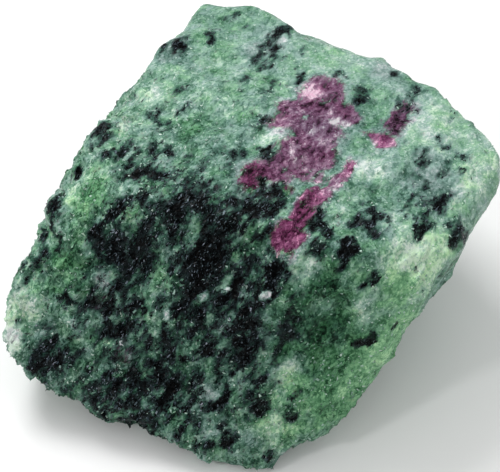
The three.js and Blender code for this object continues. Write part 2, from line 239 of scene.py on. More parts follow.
# The patches that the frame shows. Each lies over the ones before it of the same mineral.
PATCHES = (
    # Hornblende: broad zones, some of them clear of it.
    Patch("dusky front", H, 165, 350, 36.0, 18.0, 0.42, broken=0.7),
    Patch("dark middle", H, 175, 245, 16.0, 14.0, 0.5, broken=0.5),
    Patch("clear front right", H, 350, 345, 22.0, 11.0, -0.15, broken=0.4),
    Patch("clear left foot", H, 22, 315, 10.0, 6.0, 0.0, broken=0.5),
    Patch("clear foot", H, 285, 400, 8.0, 5.0, 0.06, broken=0.5),
    Patch("dusky back", H, 268, 75, 14.0, 5.0, 0.07, broken=0.6),
    Patch("dusky right shoulder", H, 432, 203, 12.0, 6.0, 0.16, broken=0.7),
    Patch("dusky side", H, 136, 160, 7.0, 6.0, 0.24, broken=0.6),
    Patch("dusky left of the top", H, 165, 118, 5.0, 3.4, 0.2, broken=0.7),
    # Hornblende on the top.
    Patch("dark crown", H, 272, 46, 3.8, 2.8, 0.5, broken=0.5),
    Patch("dark crown right", H, 287, 34, 2.8, 2.0, 0.6, broken=0.5),
    Patch("dark crown foot", H, 261, 60, 3.2, 2.2, 0.46, broken=0.5),
    Patch("dark crown left", H, 213, 36, 3.6, 1.3, 0.62, broken=0.5),
    Patch("dark crown tip", H, 232, 15, 1.8, 1.6, 0.34, broken=0.5),
    Patch("dark knob at the back", H, 177, 44, 3.2, 3.2, 0.4, broken=1.0),
    Patch("side knob", H, 101, 135, 3.8, 2.4, 0.75, broken=0.7),
    Patch("black knob low", H, 77, 174, 2.0, 1.7, 1.0),
    Patch("black knob foot", H, 52, 210, 3.0, 1.8, 0.8),
    Patch("side shade", H, 116, 154, 2.6, 1.8, 0.5),
    Patch("fleck under side knob", H, 136, 172, 3.0, 2.4, 0.8),
    Patch("fleck mid left", H, 158, 178, 3.0, 2.6, 0.85),
    Patch("fleck by notch", H, 160, 150, 3.0, 2.2, 0.6, broken=0.7),
    Patch("fleck near head", H, 182, 88, 2.0, 1.6, 0.45, broken=0.7),
    Patch("fleck on the back", H, 264, 90, 2.6, 1.4, 0.45, broken=0.7),
    Patch("fleck above tail", H, 264, 122, 3.4, 1.8, 0.6, broken=0.6),
    Patch("fleck before tail", H, 238, 156, 2.2, 1.8, 0.4, broken=0.6),
    Patch("fleck left of tail", H, 266, 152, 2.4, 1.8, 0.9),
    Patch("fleck over ruby", H, 336, 74, 2.2, 2.0, 0.5, broken=0.6),
    Patch("fleck left of head", H, 304, 77, 2.2, 2.2, 0.6, broken=0.6),
    Patch("fleck right of ruby", H, 365, 95, 3.4, 2.6, 0.44, broken=0.6),
    Patch("fleck far right", H, 394, 78, 1.8, 2.0, 0.5, broken=0.5),
    Patch("fleck at the back rim", H, 420, 92, 2.2, 1.8, 0.45, broken=0.5),
    Patch("upper right streak", H, 406, 106, 3.6, 2.8, 0.6, broken=0.6),
    Patch("upper right fleck", H, 438, 141, 2.4, 1.8, 0.5, broken=0.5),
    Patch("right dark one", H, 457, 164, 4.0, 2.4, 0.5, broken=0.5),
    Patch("right dark two", H, 421, 157, 2.6, 2.2, 0.38, broken=0.5),
    Patch("right dark three", H, 439, 202, 2.8, 2.4, 0.76, broken=0.6),
    Patch("right dark four", H, 422, 225, 4.6, 2.4, 0.55, broken=0.6),
    Patch("right rim", H, 460, 236, 4.0, 1.8, 0.6, broken=0.5),
    Patch("right fleck", H, 371, 220, 4.4, 3.4, 0.62, broken=0.9),
    # Hornblende along the ridge.
    Patch("ridge dark far left", H, 113, 215, 3.4, 1.6, 0.85),
    Patch("ridge dark left", H, 101, 238, 4.4, 2.4, 0.78),
    Patch("dark bay", H, 125, 252, 6.0, 5.4, 0.64, broken=0.6),
    Patch("ridge streak", H, 172, 222, 5.6, 1.8, 0.95),
    Patch("ridge dark middle", H, 195, 202, 3.6, 3.4, 0.9),
    Patch("ridge spot", H, 141, 200, 1.6, 1.4, 0.8),
    Patch("dusk on the ridge", H, 250, 214, 6.6, 5.0, 0.56, broken=0.8),
    Patch("ridge dark right", H, 262, 212, 3.4, 2.8, 0.9),
    Patch("dark left of ruby foot", H, 270, 229, 2.6, 2.0, 0.4),
    Patch("fleck below tail", H, 268, 191, 3.6, 3.4, 0.95),
    Patch("dark heart", H, 208, 252, 7.0, 3.4, 1.1, broken=0.5),
    Patch("dark heart left", H, 172, 266, 2.4, 1.6, 0.9),
    Patch("behind ruby foot", H, 317, 218, 4.4, 1.8, 0.95),
    Patch("right of ruby foot", H, 326, 238, 3.8, 3.4, 0.66, broken=0.8),
    Patch("below ruby foot", H, 349, 252, 4.0, 1.2, 1.0),
    Patch("small fleck", H, 370, 280, 2.0, 1.5, 0.95),
    # Hornblende down the front.
    Patch("front streak one", H, 194, 293, 4.4, 1.4, 0.95),
    Patch("front spot one", H, 227, 299, 2.4, 1.6, 0.95),
    Patch("front streak two", H, 241, 276, 3.2, 1.3, 0.95),
    Patch("front dark right", H, 273, 270, 3.2, 2.2, 0.95),
    Patch("front dark under it", H, 263, 296, 3.0, 1.8, 0.9),
    Patch("front streak three", H, 244, 322, 5.0, 2.2, 1.1, broken=0.6),
    Patch("front streak four", H, 241, 350, 5.0, 2.4, 0.9, broken=0.7),
    Patch("front spot two", H, 207, 350, 2.2, 1.1, 0.95),
    Patch("front streak five", H, 152, 378, 4.6, 1.6, 0.95),
    Patch("front streak six", H, 170, 400, 4.4, 1.6, 0.95),
    Patch("front streak seven", H, 262, 378, 3.6, 1.3, 0.8),
    Patch("front streak eight", H, 288, 414, 2.0, 1.5, 0.4, broken=0.6),
    Patch("dark blob at the foot", H, 258, 405, 2.6, 2.0, 0.9, broken=0.6),
    Patch("front streak nine", H, 288, 325, 5.0, 2.2, 0.5, broken=0.6),
    Patch("front streak ten", H, 119, 326, 4.4, 2.4, 0.75),
    Patch("front streak eleven", H, 222, 398, 3.4, 1.3, 0.8),
    Patch("front foot dark", H, 134, 402, 2.4, 1.3, 0.85),
    Patch("front foot dusk", H, 118, 372, 5.0, 4.0, 0.52, broken=0.9),
    Patch("front dusk right", H, 223, 440, 3.6, 3.2, 0.8, broken=0.8),
    Patch("dark foot edge", H, 268, 454, 2.0, 1.3, 0.7, broken=0.6),
    Patch("plum dark", H, 106, 303, 4.4, 3.4, 0.8),
    Patch("blue dark foot", H, 48, 358, 5.0, 4.2, 0.56, broken=0.9),
    Patch("left rim dark", H, 30, 270, 4.0, 3.0, 0.34, broken=0.8),
    Patch("left rim low", H, 52, 240, 4.4, 2.4, 0.34, broken=0.8),
    Patch("left spot", H, 66, 300, 2.4, 1.6, 0.6),
    Patch("fleck low right", H, 367, 340, 2.8, 1.2, 0.95, broken=0.5),
    Patch("fleck on the right edge", H, 394, 327, 1.8, 1.4, 0.9),
    # Clear rock within the dark.
    Patch("clear spot on the ridge", H, 134, 213, 3.4, 2.4, 0.12, broken=0.5),
    Patch("clear spot by the heart", H, 188, 229, 3.4, 2.2, 0.2, broken=0.7),
    Patch("clear spot below it", H, 168, 246, 3.4, 3.0, 0.2, broken=0.5),
    Patch("window in the dark", H, 163, 284, 5.0, 3.4, 0.08, broken=0.5),
    Patch("clear front left", H, 160, 330, 3.4, 3.4, 0.24, broken=0.8),
    Patch("clear front middle", H, 190, 362, 4.4, 3.4, 0.36, broken=0.8),
    Patch("green lens by the heart", H, 248, 246, 5.8, 2.6, 0.18, broken=0.6),
    Patch("clear front low", H, 182, 418, 4.0, 3.4, 0.24, broken=0.8),
    Patch("clear left side", H, 86, 332, 6.4, 4.4, 0.14, broken=0.6),
    # Painted highlights: the clear glints keep hornblende away from the pale glint spots painted on the
    # zoisite further down.
    Patch("clear glint in the crown", H, 283, 41, 1.4, 1.1, -0.4, broken=0.2),
    Patch("clear glint in the dark", H, 263, 297, 1.2, 0.9, -0.6, broken=0.2),
    Patch("clear glint on the ridge", H, 171, 221, 0.9, 0.7, -0.6, broken=0.2),
    Patch("clear glint below the heart", H, 225, 289, 1.2, 0.9, -0.4, broken=0.2),
    Patch("clear glint left of it", H, 204, 298, 1.2, 0.9, -0.4, broken=0.2),
    Patch("clear glint in front", H, 168, 316, 1.4, 0.8, -0.4, broken=0.2),
    Patch("clear knob in front", H, 212, 394, 2.4, 1.4, -0.1, broken=0.5),
    Patch("clear foot left", H, 207, 432, 3.0, 1.6, 0.1, broken=0.5),
    # Zoisite: broad zones.
    Patch("light top", Z, 200, 80, 26.0, 24.0, 1.0, 0.64, 0.4),
    Patch("teal shoulder", Z, 188, 164, 16.0, 14.0, 1.0, 0.58, 0.2),
    Patch("deep front left", Z, 170, 345, 38.0, 21.0, 1.0, 0.48, 0.3),
    Patch("deep front middle", Z, 325, 320, 15.0, 9.0, 1.0, 0.27, 0.7),
    Patch("light back", Z, 335, 60, 14.0, 9.0, 1.0, 0.71, 0.4),
    Patch("green front right", Z, 358, 375, 14.0, 8.0, 1.0, 0.45, 1.3),
    Patch("light strip at the right foot", Z, 388, 345, 12.0, 3.4, 1.0, 0.74, 1.2),
    Patch("mint at the right", Z, 435, 125, 12.0, 8.0, 1.0, 0.82, 0.35),
    Patch("pale right back", Z, 478, 170, 18.0, 4.6, 1.0, 0.84, 0.45),
    Patch("pale right rim", Z, 411, 265, 8.0, 5.6, 1.0, 1.02, 0.5),
    # Painted light: paler paint along the right rim, where the side turns away from the lamps and is lit
    # less.
    Patch("pale below the right rim", Z, 438, 254, 5.0, 3.4, 1.0, 0.96, 0.8),
    # Zoisite that stains grey near ruby and on the crown.
    Patch("blush at the back", Z, 383, 72, 4.4, 4.0, 1.0, 0.74, -0.4),
    Patch("grey stain right of the ruby", Z, 404, 100, 4.0, 4.0, 1.0, 0.7, -0.3),
    Patch("grey stain at the right", Z, 428, 178, 6.0, 5.6, 1.0, 0.56, -0.5),
    Patch("grey stain by the right fleck", Z, 378, 226, 4.0, 3.4, 1.0, 0.42, -0.4),
    Patch("grey stain on the crown", Z, 268, 48, 7.4, 5.6, 1.0, 0.7, -0.3),
    Patch("grey stain on the back knob", Z, 175, 48, 4.6, 4.4, 1.0, 0.5, -0.5),
    # Zoisite: pale and deep patches on the top, at the right and in front.
    Patch("deep green by the islet", Z, 363, 118, 4.0, 2.4, 1.0, 0.52, 0.5),
    Patch("green behind the islet", Z, 383, 100, 4.0, 2.4, 1.0, 0.66, 0.4),
    Patch("pale corner by the ruby", Z, 274, 136, 3.4, 3.0, 1.0, 0.88, 0.2),
    Patch("cream right", Z, 370, 166, 4.4, 4.2, 1.0, 0.92, 0.2),
    Patch("light right of the stripe", Z, 335, 214, 3.0, 2.4, 1.0, 0.78, 0.4),
    Patch("mint spot at the right", Z, 400, 222, 4.0, 3.2, 1.0, 0.78, 0.3),
    Patch("pale under ruby", Z, 302, 268, 4.0, 3.4, 1.0, 0.8, 0.3),
    Patch("green at the right", Z, 399, 292, 4.4, 4.0, 1.0, 0.66, 1.3),
    Patch("deep green at the right", Z, 358, 282, 3.4, 3.4, 1.0, 0.62, 0.8),
    Patch("pale front", Z, 365, 310, 4.8, 2.8, 1.0, 0.72, 0.5),
    Patch("pale front foot", Z, 288, 410, 9.0, 5.0, 1.0, 0.66, 1.0),
    # Zoisite: the left side.
    # Painted light: the left edge, the back left edge and the chamfer rim are painted paler, for light at
    # the stone's left rim.
    Patch("pale left edge", Z, 124, 128, 6.0, 2.4, 1.0, 0.84, 0.4),
    Patch("pale back left edge", Z, 156, 92, 4.0, 2.6, 1.0, 0.88, 0.35),
    Patch("pale chamfer rim", Z, 78, 192, 4.4, 2.4, 1.0, 0.94, 0.7),
    Patch("pale left chamfer", Z, 92, 196, 7.0, 3.6, 1.0, 0.56, 0.9),
    Patch("pale left foot", Z, 14, 318, 8.6, 4.2, 1.0, 0.9, 0.5),
    # Zoisite: single spots within the dark.
    Patch("green window", Z, 163, 284, 5.0, 3.6, 1.0, 0.62, 0.6),
    Patch("pale spot by the heart", Z, 188, 229, 3.8, 2.6, 1.0, 0.6, 0.4),
    Patch("pale spot on the ridge", Z, 134, 213, 3.4, 2.6, 1.0, 0.66, 0.6),
    Patch("pale spot left", Z, 103, 277, 2.4, 2.2, 1.0, 0.9, 0.0),
    Patch("pale spot in front", Z, 148, 318, 3.0, 2.6, 1.0, 0.62, 0.5),
    Patch("lens by the heart", Z, 248, 246, 6.0, 2.8, 1.0, 0.52, 0.6),
    # Zoisite: single knobs, and glints that are painted highlights: pale spots in place of light mirrored
    # off grains.
    Patch("white knob", Z, 14, 336, 3.0, 2.4, 1.0, 1.04, 0.2),
    Patch("glint in the crown", Z, 283, 41, 1.4, 1.1, 1.0, 0.96, -0.4),
    Patch("glint in the dark", Z, 263, 297, 1.2, 0.9, 1.0, 1.0, -0.4),
    Patch("glint on the ridge", Z, 171, 221, 0.9, 0.7, 1.0, 1.2, -0.4),
    Patch("glint below the heart", Z, 225, 289, 1.2, 0.9, 1.0, 0.76, -0.3),
    Patch("glint left of it", Z, 204, 298, 1.2, 0.9, 1.0, 0.7, -0.2),
    Patch("glint in front", Z, 168, 316, 1.4, 0.8, 1.0, 0.9, -0.2),
    Patch("grey knob in front", Z, 212, 394, 2.4, 1.5, 1.0, 0.56, -0.2),
    Patch("pale foot left", Z, 207, 432, 3.2, 1.8, 1.0, 0.66, 0.1),
    # Zoisite: lumps and deep green in front.
    Patch("pale lump at the front right", Z, 291, 366, 3.0, 2.2, 1.0, 0.86, 0.5),
    Patch("pale lump below it", Z, 284, 386, 3.4, 2.6, 1.0, 0.74, 0.8),
    Patch("light knob in the deep green", Z, 320, 305, 2.6, 2.0, 1.0, 0.5, 0.5),
    Patch("pale lump at the foot", Z, 272, 430, 4.0, 2.4, 1.0, 0.84, 0.7),
    Patch("deep green at the foot", Z, 288, 414, 1.8, 1.8, 1.0, 0.4, 0.8),
    Patch("deep green low right", Z, 334, 402, 4.6, 3.6, 1.0, 0.42, 1.5),
    # Painted rim light: the low right rim is painted paler, for light from behind that edge.
    Patch("light rim low right", Z, 352, 388, 8.0, 2.2, 1.0, 0.64, 1.5),
    Patch("green low in front", Z, 320, 372, 4.4, 3.0, 1.0, 0.5, 1.0),
    # Zoisite: bluish and deep green rock at the left.
    Patch("blue dark", Z, 46, 360, 6.0, 4.6, 0.9, 0.3, -0.2),
    Patch("blue dark bay", Z, 125, 250, 7.0, 6.0, 0.9, 0.36, 0.0),
    Patch("deep green left", Z, 66, 268, 7.0, 5.0, 1.0, 0.42, 0.8),
    Patch("deep green side", Z, 195, 132, 4.6, 4.4, 1.0, 0.48, 0.5),
    # Ruby: the large patch and its tail.
    Patch("ruby head", R, 327, 90, 5.0, 4.6, 1.0, 0.5, 0.3),
    Patch("ruby head glow", R, 309, 94, 3.0, 3.4, 0.9, 1.1, 0.6),
    Patch("ruby plum band left", R, 293, 108, 3.6, 3.6, 1.1, 0.46, 0.3),
    Patch("ruby plum band", R, 314, 107, 3.6, 5.0, 1.2, 0.36, 0.3),
    Patch("ruby plum band right", R, 340, 111, 3.6, 4.8, 1.15, 0.36, 0.3),
    Patch("ruby upper left", R, 287, 120, 4.4, 3.8, 1.0, 0.62, 0.5),
    Patch("ruby middle", R, 314, 134, 6.4, 6.0, 1.05, 0.46, 0.0),
    Patch("ruby pale spot", R, 336, 121, 2.0, 2.2, 0.3, 1.1, 0.0),
    Patch("ruby lower", R, 315, 156, 4.8, 4.8, 1.1, 0.42, 0.4),
    Patch("ruby left flank", R, 292, 149, 6.4, 3.6, 1.0, 0.48, 0.4),
    Patch("ruby lower rim", R, 300, 171, 4.0, 5.6, 0.8, 0.6, 0.3),
    Patch("ruby tail", R, 270, 169, 4.8, 4.4, 0.95, 0.3, 0.4),
    Patch("ruby tail end", R, 251, 178, 4.4, 3.4, 0.9, 0.16, 0.9),
    # Ruby: the stripe that runs from it.
    Patch("ruby stripe top", R, 346, 172, 4.8, 1.4, 0.9, 0.6, 0.8),
    Patch("ruby stripe middle", R, 317, 197, 4.2, 2.5, 1.1, 0.62, 0.9),
    Patch("ruby stripe neck", R, 334, 183, 3.0, 2.0, 0.9, 0.8, 0.2),
    Patch("ruby stripe knee", R, 303, 215, 4.2, 2.2, 1.2, 0.36, 1.1),
    Patch("ruby stripe foot", R, 290, 235, 3.6, 3.2, 1.2, 0.46, 1.2),
    Patch("ruby stripe toe", R, 281, 240, 2.2, 2.4, 1.1, 0.46, 1.2),
    # Ruby: the islet at the back.
    Patch("ruby islet", R, 399, 121, 5.6, 2.7, 1.15, 0.16, 0.1),
    Patch("ruby islet rim", R, 383, 139, 2.4, 4.0, 1.1, 0.6, 0.9),
    # Ruby: faint stains.
    Patch("plum stain in the dark", R, 100, 298, 3.2, 2.4, 0.6, 0.04, 0.3),
    Patch("plum fleck low", R, 122, 358, 4.0, 2.2, 0.5, 0.04, 0.3),
    Patch("brown fleck under the ruby", R, 287, 190, 2.2, 2.0, 0.6, 0.16, 1.0),
)


@dataclass(frozen=True)
class Scatter:
    """Patches of one mineral that are strewn by chance over the sides that the frame doesn't show.

    Attributes:
        mineral: What they are made of.
        count: How many there are.
        long: Their least and greatest length.
        wide: Their least and greatest width.
        share: Their least and greatest share of the rock.
        seed: The seed of all that is random.
        shade: How dark and how light they are.
        warmth: How grey and how rich their colour is.
    """

    mineral: Mineral
    count: int
    long: Range
    wide: Range
    share: Range
    seed: int
    shade: Range = (0.5, 0.5)
    warmth: Range = (0.3, 0.3)

    def strew(self, places: np.ndarray) -> list[tuple[Patch, np.ndarray]]:
        """Picks the patches and their places.

        Args:
            places: The places on the stone that they may lie at.

        Returns:
            Each patch with the place of its middle.
        """
        chance = np.random.default_rng(self.seed)
        picked = chance.choice(len(places), self.count, replace=False)
        ranges = (self.long, self.wide, self.share, self.shade, self.warmth)
        patches = []
        for index in picked:
            values = (float(chance.uniform(*ends)) for ends in ranges)
            patches.append((Patch(f"strewn {index}", self.mineral, None, None, *values), places[index]))
        return patches


# What is strewn over the sides that the frame doesn't show.
HIDDEN_SIDES = (
    Scatter(
        Mineral.ZOISITE,
        count=40,
        long=(5.0, 15.0),
        wide=(3.0, 8.0),
        share=(0.8, 1.0),
        shade=(0.3, 0.96),
        warmth=(-0.1, 1.1),
        seed=5,
    ),
    Scatter(Mineral.HORNBLENDE, count=9, long=(9.0, 18.0), wide=(5.0, 9.0), share=(0.2, 0.5), seed=6),
    Scatter(Mineral.HORNBLENDE, count=100, long=(2.0, 5.6), wide=(1.3, 3.0), share=(0.35, 1.0), seed=7),
    Scatter(
        Mineral.RUBY,
        count=8,
        long=(5.0, 10.0),
        wide=(2.4, 5.0),
        share=(0.8, 1.1),
        shade=(0.25, 0.6),
        warmth=(0.0, 1.1),
        seed=8,
    ),
)


@dataclass
class RockFields:
    """What the rock is at each point of the stone's surface, as one number for each point.

    Attributes:
        dark: The share of hornblende.
        broken: How strongly clumps of hornblende break the rock up.
        red: The share of ruby.
        blush: How light the ruby is.
        rich: How rich the ruby's colour is.
        tone: How light the zoisite is.
        warm: How rich the rock's colour is.
    """

    dark: np.ndarray
    broken: np.ndarray
    red: np.ndarray
    blush: np.ndarray
    rich: np.ndarray
    tone: np.ndarray
    warm: np.ndarray

    def take_in(self, patch: Patch, inside: np.ndarray) -> None:
        """Lays one patch over the patches so far.

        Args:
            patch: The patch.
            inside: How far each point lies inside it, from 0 to 1.
        """
        if patch.mineral is Mineral.HORNBLENDE:
            self.dark += (patch.share - self.dark) * inside
            self.broken += (patch.broken - self.broken) * inside
        elif patch.mineral is Mineral.RUBY:
            self.blush += (patch.shade - self.blush) * inside
            self.rich += (patch.warmth - self.rich) * inside
            self.red = np.maximum(self.red, patch.share * inside)
        else:
            self.tone += (patch.shade - self.tone) * patch.share * inside
            self.warm += (patch.warmth - self.warm) * patch.share * inside

    def store_on(self, mesh: Mesh) -> None:
        """Stores on the stone's mesh what its finishes and its grains read.

        Args:
            mesh: The mesh of the stone's own surface.
        """
        write_values(mesh, Field.DARK, self.dark)
        write_values(mesh, Field.RED, self.red)
        write_values(mesh, Field.TONE, self.tone)
        write_values(mesh, Field.BLUSH, self.blush)
        write_values(mesh, Field.WARM, self.warm)


@dataclass(frozen=True)
class MineralMap:
    """Spreads the patches over the stone, and gives every point its share of each mineral.

    Attributes:
        patches: The patches on the side that the frame shows.
        hidden: What is strewn over the other sides.
        hidden_past: The cosine of the surface's angle to the eye under which patches are strewn.
        hidden_edge: The same cosine, turned about, at which they start to show and show in full.
        core: How far out a patch is full, as a share of its half size.
        rim: How far out it ends.
        wander: How far its rim wanders.
        plain_tone: How light the zoisite is outside all patches.
        plain_warmth: How rich the rock's colour is there.
        plain_blush: How light ruby is there.
        calm: How strongly clumps of hornblende break the rock up there.
        lift: How much lighter all zoisite is made.
        mottle: How mottled zoisite is.
        clumps: How strongly hornblende gathers in clumps.
        dark_streaks: How strongly it gathers in streaks.
        clearing: How much hornblende a full share of ruby drives out.
        deep_knee: The share of hornblende from which more of it counts less.
        deep_squeeze: How much it counts from there.
        dusk: How much darker zoisite is among hornblende.
        dusk_edge: The shares of hornblende at which that starts and is full.
        dusk_grey: How much greyer the rock is there.
        border_grey: How much greyer it is where ruby starts.
        border_edge: The shares of ruby at which that starts and is full.
        warm_swing: How far its warmth varies.
        rich_edge: The shares of ruby at which the ruby's own warmth starts and is full.
        ruby_streaks: How strongly ruby gathers in streaks.
        blush_streaks: How streaky its lightness is.
    """

    patches: tuple[Patch, ...] = PATCHES
    hidden: tuple[Scatter, ...] = HIDDEN_SIDES
    hidden_past: float = -0.35
    hidden_edge: Range = (-0.12, 0.2)
    core: float = 0.3
    rim: float = 1.45
    wander: float = 1.5
    plain_tone: float = 0.56
    plain_warmth: float = 0.35
    plain_blush: float = 0.4
    calm: float = 0.4
    lift: float = 0.072
    mottle: float = 1.45
    clumps: float = 4.4
    dark_streaks: float = 1.8
    clearing: float = 0.4
    deep_knee: float = 0.85
    deep_squeeze: float = 0.4
    dusk: float = 0.3
    dusk_edge: Range = (0.1, 0.6)
    dusk_grey: float = 0.4
    border_grey: float = 0.6
    border_edge: Range = (0.0, 0.3)
    warm_swing: float = 2.3
    rich_edge: Range = (0.3, 0.5)
    ruby_streaks: float = 1.05
    blush_streaks: float = 2.2

    def lay_on(self, stone: Object, view: Viewpoint) -> None:
        """Gives the stone's mesh its mineral fields.

        Args:
            stone: The stone's own surface, with its noise.
            view: Where the patches' places in the frame are seen from.
        """
        fields = self.spread(stone, view)
        self.work_noise_in(fields, stone.data)
        fields.store_on(stone.data)

    def spread(self, stone: Object, view: Viewpoint) -> RockFields:
        """Lays all the patches on plain rock.

        Args:
            stone: The stone's own surface, with its noise.
            view: Where the patches' places in the frame are seen from.

        Returns:
            The rock, with soft patches.
        """
        points = read_vectors(stone.data, "position")
        moved = points + (read_vectors(stone.data, Noise.DRIFT.value) - 0.5) * 2.0 * self.wander
        turned = read_normals(stone.data) @ np.array(view.towards_eye())
        hidden = smooth_step(-turned, *self.hidden_edge)
        fields = RockFields(
            dark=np.zeros(len(points)),
            broken=np.full(len(points), self.calm),
            red=np.zeros(len(points)),
            blush=np.full(len(points), self.plain_blush),
            rich=np.full(len(points), self.plain_warmth),
            tone=np.full(len(points), self.plain_tone),
            warm=np.full(len(points), self.plain_warmth),
        )
        for scatter in self.hidden:
            for patch, centre in scatter.strew(points[turned < self.hidden_past]):
                fields.take_in(patch, self.reach_of(patch, moved, centre) * hidden)
        for patch in self.patches:
            fields.take_in(patch, self.reach_of(patch, moved, self.centre_of(patch, stone, view)))
        return fields

    def work_noise_in(self, fields: RockFields, mesh: Mesh) -> None:
        """Breaks the soft patches up into clumps, mottles and streaks.

        Args:
            fields: The rock, with soft patches. It is changed.
            mesh: The mesh of the stone's own surface, with its noise.
        """
        clumps, mottle, streaks, hue = (
            read_values(mesh, noise) - 0.5
            for noise in (Noise.CLUMPS, Noise.MOTTLE, Noise.STREAKS, Noise.HUE)
        )
        mottle *= WORN_CONTRAST + (1.0 - WORN_CONTRAST) * read_values(mesh, Field.ROUGH)
        fields.dark += (clumps * self.clumps + streaks * self.dark_streaks) * fields.broken
        fields.dark -= self.clearing * np.minimum(fields.red, 1.0)
        squeezed = self.deep_knee + (fields.dark - self.deep_knee) * self.deep_squeeze
        fields.dark = np.minimum(fields.dark, squeezed)
        dusk = smooth_step(fields.dark, *self.dusk_edge)
        fields.tone += self.lift + mottle * self.mottle * (1.0 + fields.broken) / 2 - self.dusk * dusk
        border = smooth_step(fields.red, *self.border_edge)
        fields.warm += hue * self.warm_swing - self.dusk_grey * dusk - self.border_grey * border
        fields.warm += (fields.rich + hue - fields.warm) * smooth_step(fields.red, *self.rich_edge)
        fields.blush += mottle + streaks * self.blush_streaks
        fields.red += streaks * self.ruby_streaks * (fields.red > 0.0)

    def centre_of(self, patch: Patch, stone: Object, view: Viewpoint) -> np.ndarray:
        """Where a patch meets the stone's surface.

        Args:
            patch: The patch to place.
            stone: The stone's own surface.
            view: Where the patch is seen from.

        Returns:
            The place.
        """
        eye, towards = view.ray(patch.column, patch.row)
        hit, place, _, _ = stone.ray_cast(eye, towards)
        if not hit:
            raise ValueError(f"the patch {patch.name} misses the stone")
        return np.array(place)

    def reach_of(self, patch: Patch, points: np.ndarray, centre: np.ndarray) -> np.ndarray:
        """How far each point lies inside a patch.

        Args:
            patch: The patch.
            points: The points.
            centre: The middle of the patch.

        Returns:
            One value for each point: 1 in the patch's core and 0 outside its rim.
        """
        away = points - centre
        across = away @ np.array(ACROSS_LAYERS) / (patch.wide / 2)
        along = away @ np.array(ALONG_LAYERS) / (patch.long / 2)
        down = away @ np.array(DOWN_LAYERS) / (patch.long / 2)
        reach = np.sqrt(across**2 + along**2 + down**2)
        return smooth_step(-reach, -self.rim, -self.core)


def smooth_step(values: np.ndarray, low: float, high: float) -> np.ndarray:
    """0 where the values are under low, 1 where they are over high, and a soft change between."""
    share = np.clip((values - low) / (high - low), 0.0, 1.0)
    return share * share * (3.0 - 2.0 * share)


def read_rows(data: bpy.types.bpy_prop_collection, part: str, width: int) -> np.ndarray:
    """Reads numbers from a mesh.

    Args:
        data: The mesh's data, with one entry for each vertex.
        part: Which part of each entry is read.
        width: How many numbers it holds.

    Returns:
        One row of numbers for each vertex.
    """
    values = np.empty(len(data) * width, dtype=np.float32)
    data.foreach_get(part, values)
    return values.reshape(-1, width).astype(float)


def read_vectors(mesh: Mesh, name: str) -> np.ndarray:
    """A mesh's vector attribute, as one row for each vertex."""
    return read_rows(mesh.attributes[name].data, "vector", 3)


def read_normals(mesh: Mesh) -> np.ndarray:
    """A mesh's normals, as one row for each vertex."""
    return read_rows(mesh.vertex_normals, "vector", 3)


def read_values(mesh: Mesh, name: Enum) -> np.ndarray:
    """A mesh's number attribute, as one value for each vertex."""
    return read_rows(mesh.attributes[name.value].data, "value", 1).ravel()


def write_values(mesh: Mesh, name: Enum, values: np.ndarray) -> None:
    """Stores one number for each vertex of a mesh under a name."""
    layer = mesh.attributes.new(name.value, "FLOAT", "POINT")
    layer.data.foreach_set("value", values.astype(np.float32))


# ---- Node trees --------------------------------------------

Socket = bpy.types.NodeSocket
Feed = Socket | float | int | bool | str | tuple | bpy.types.ID | None


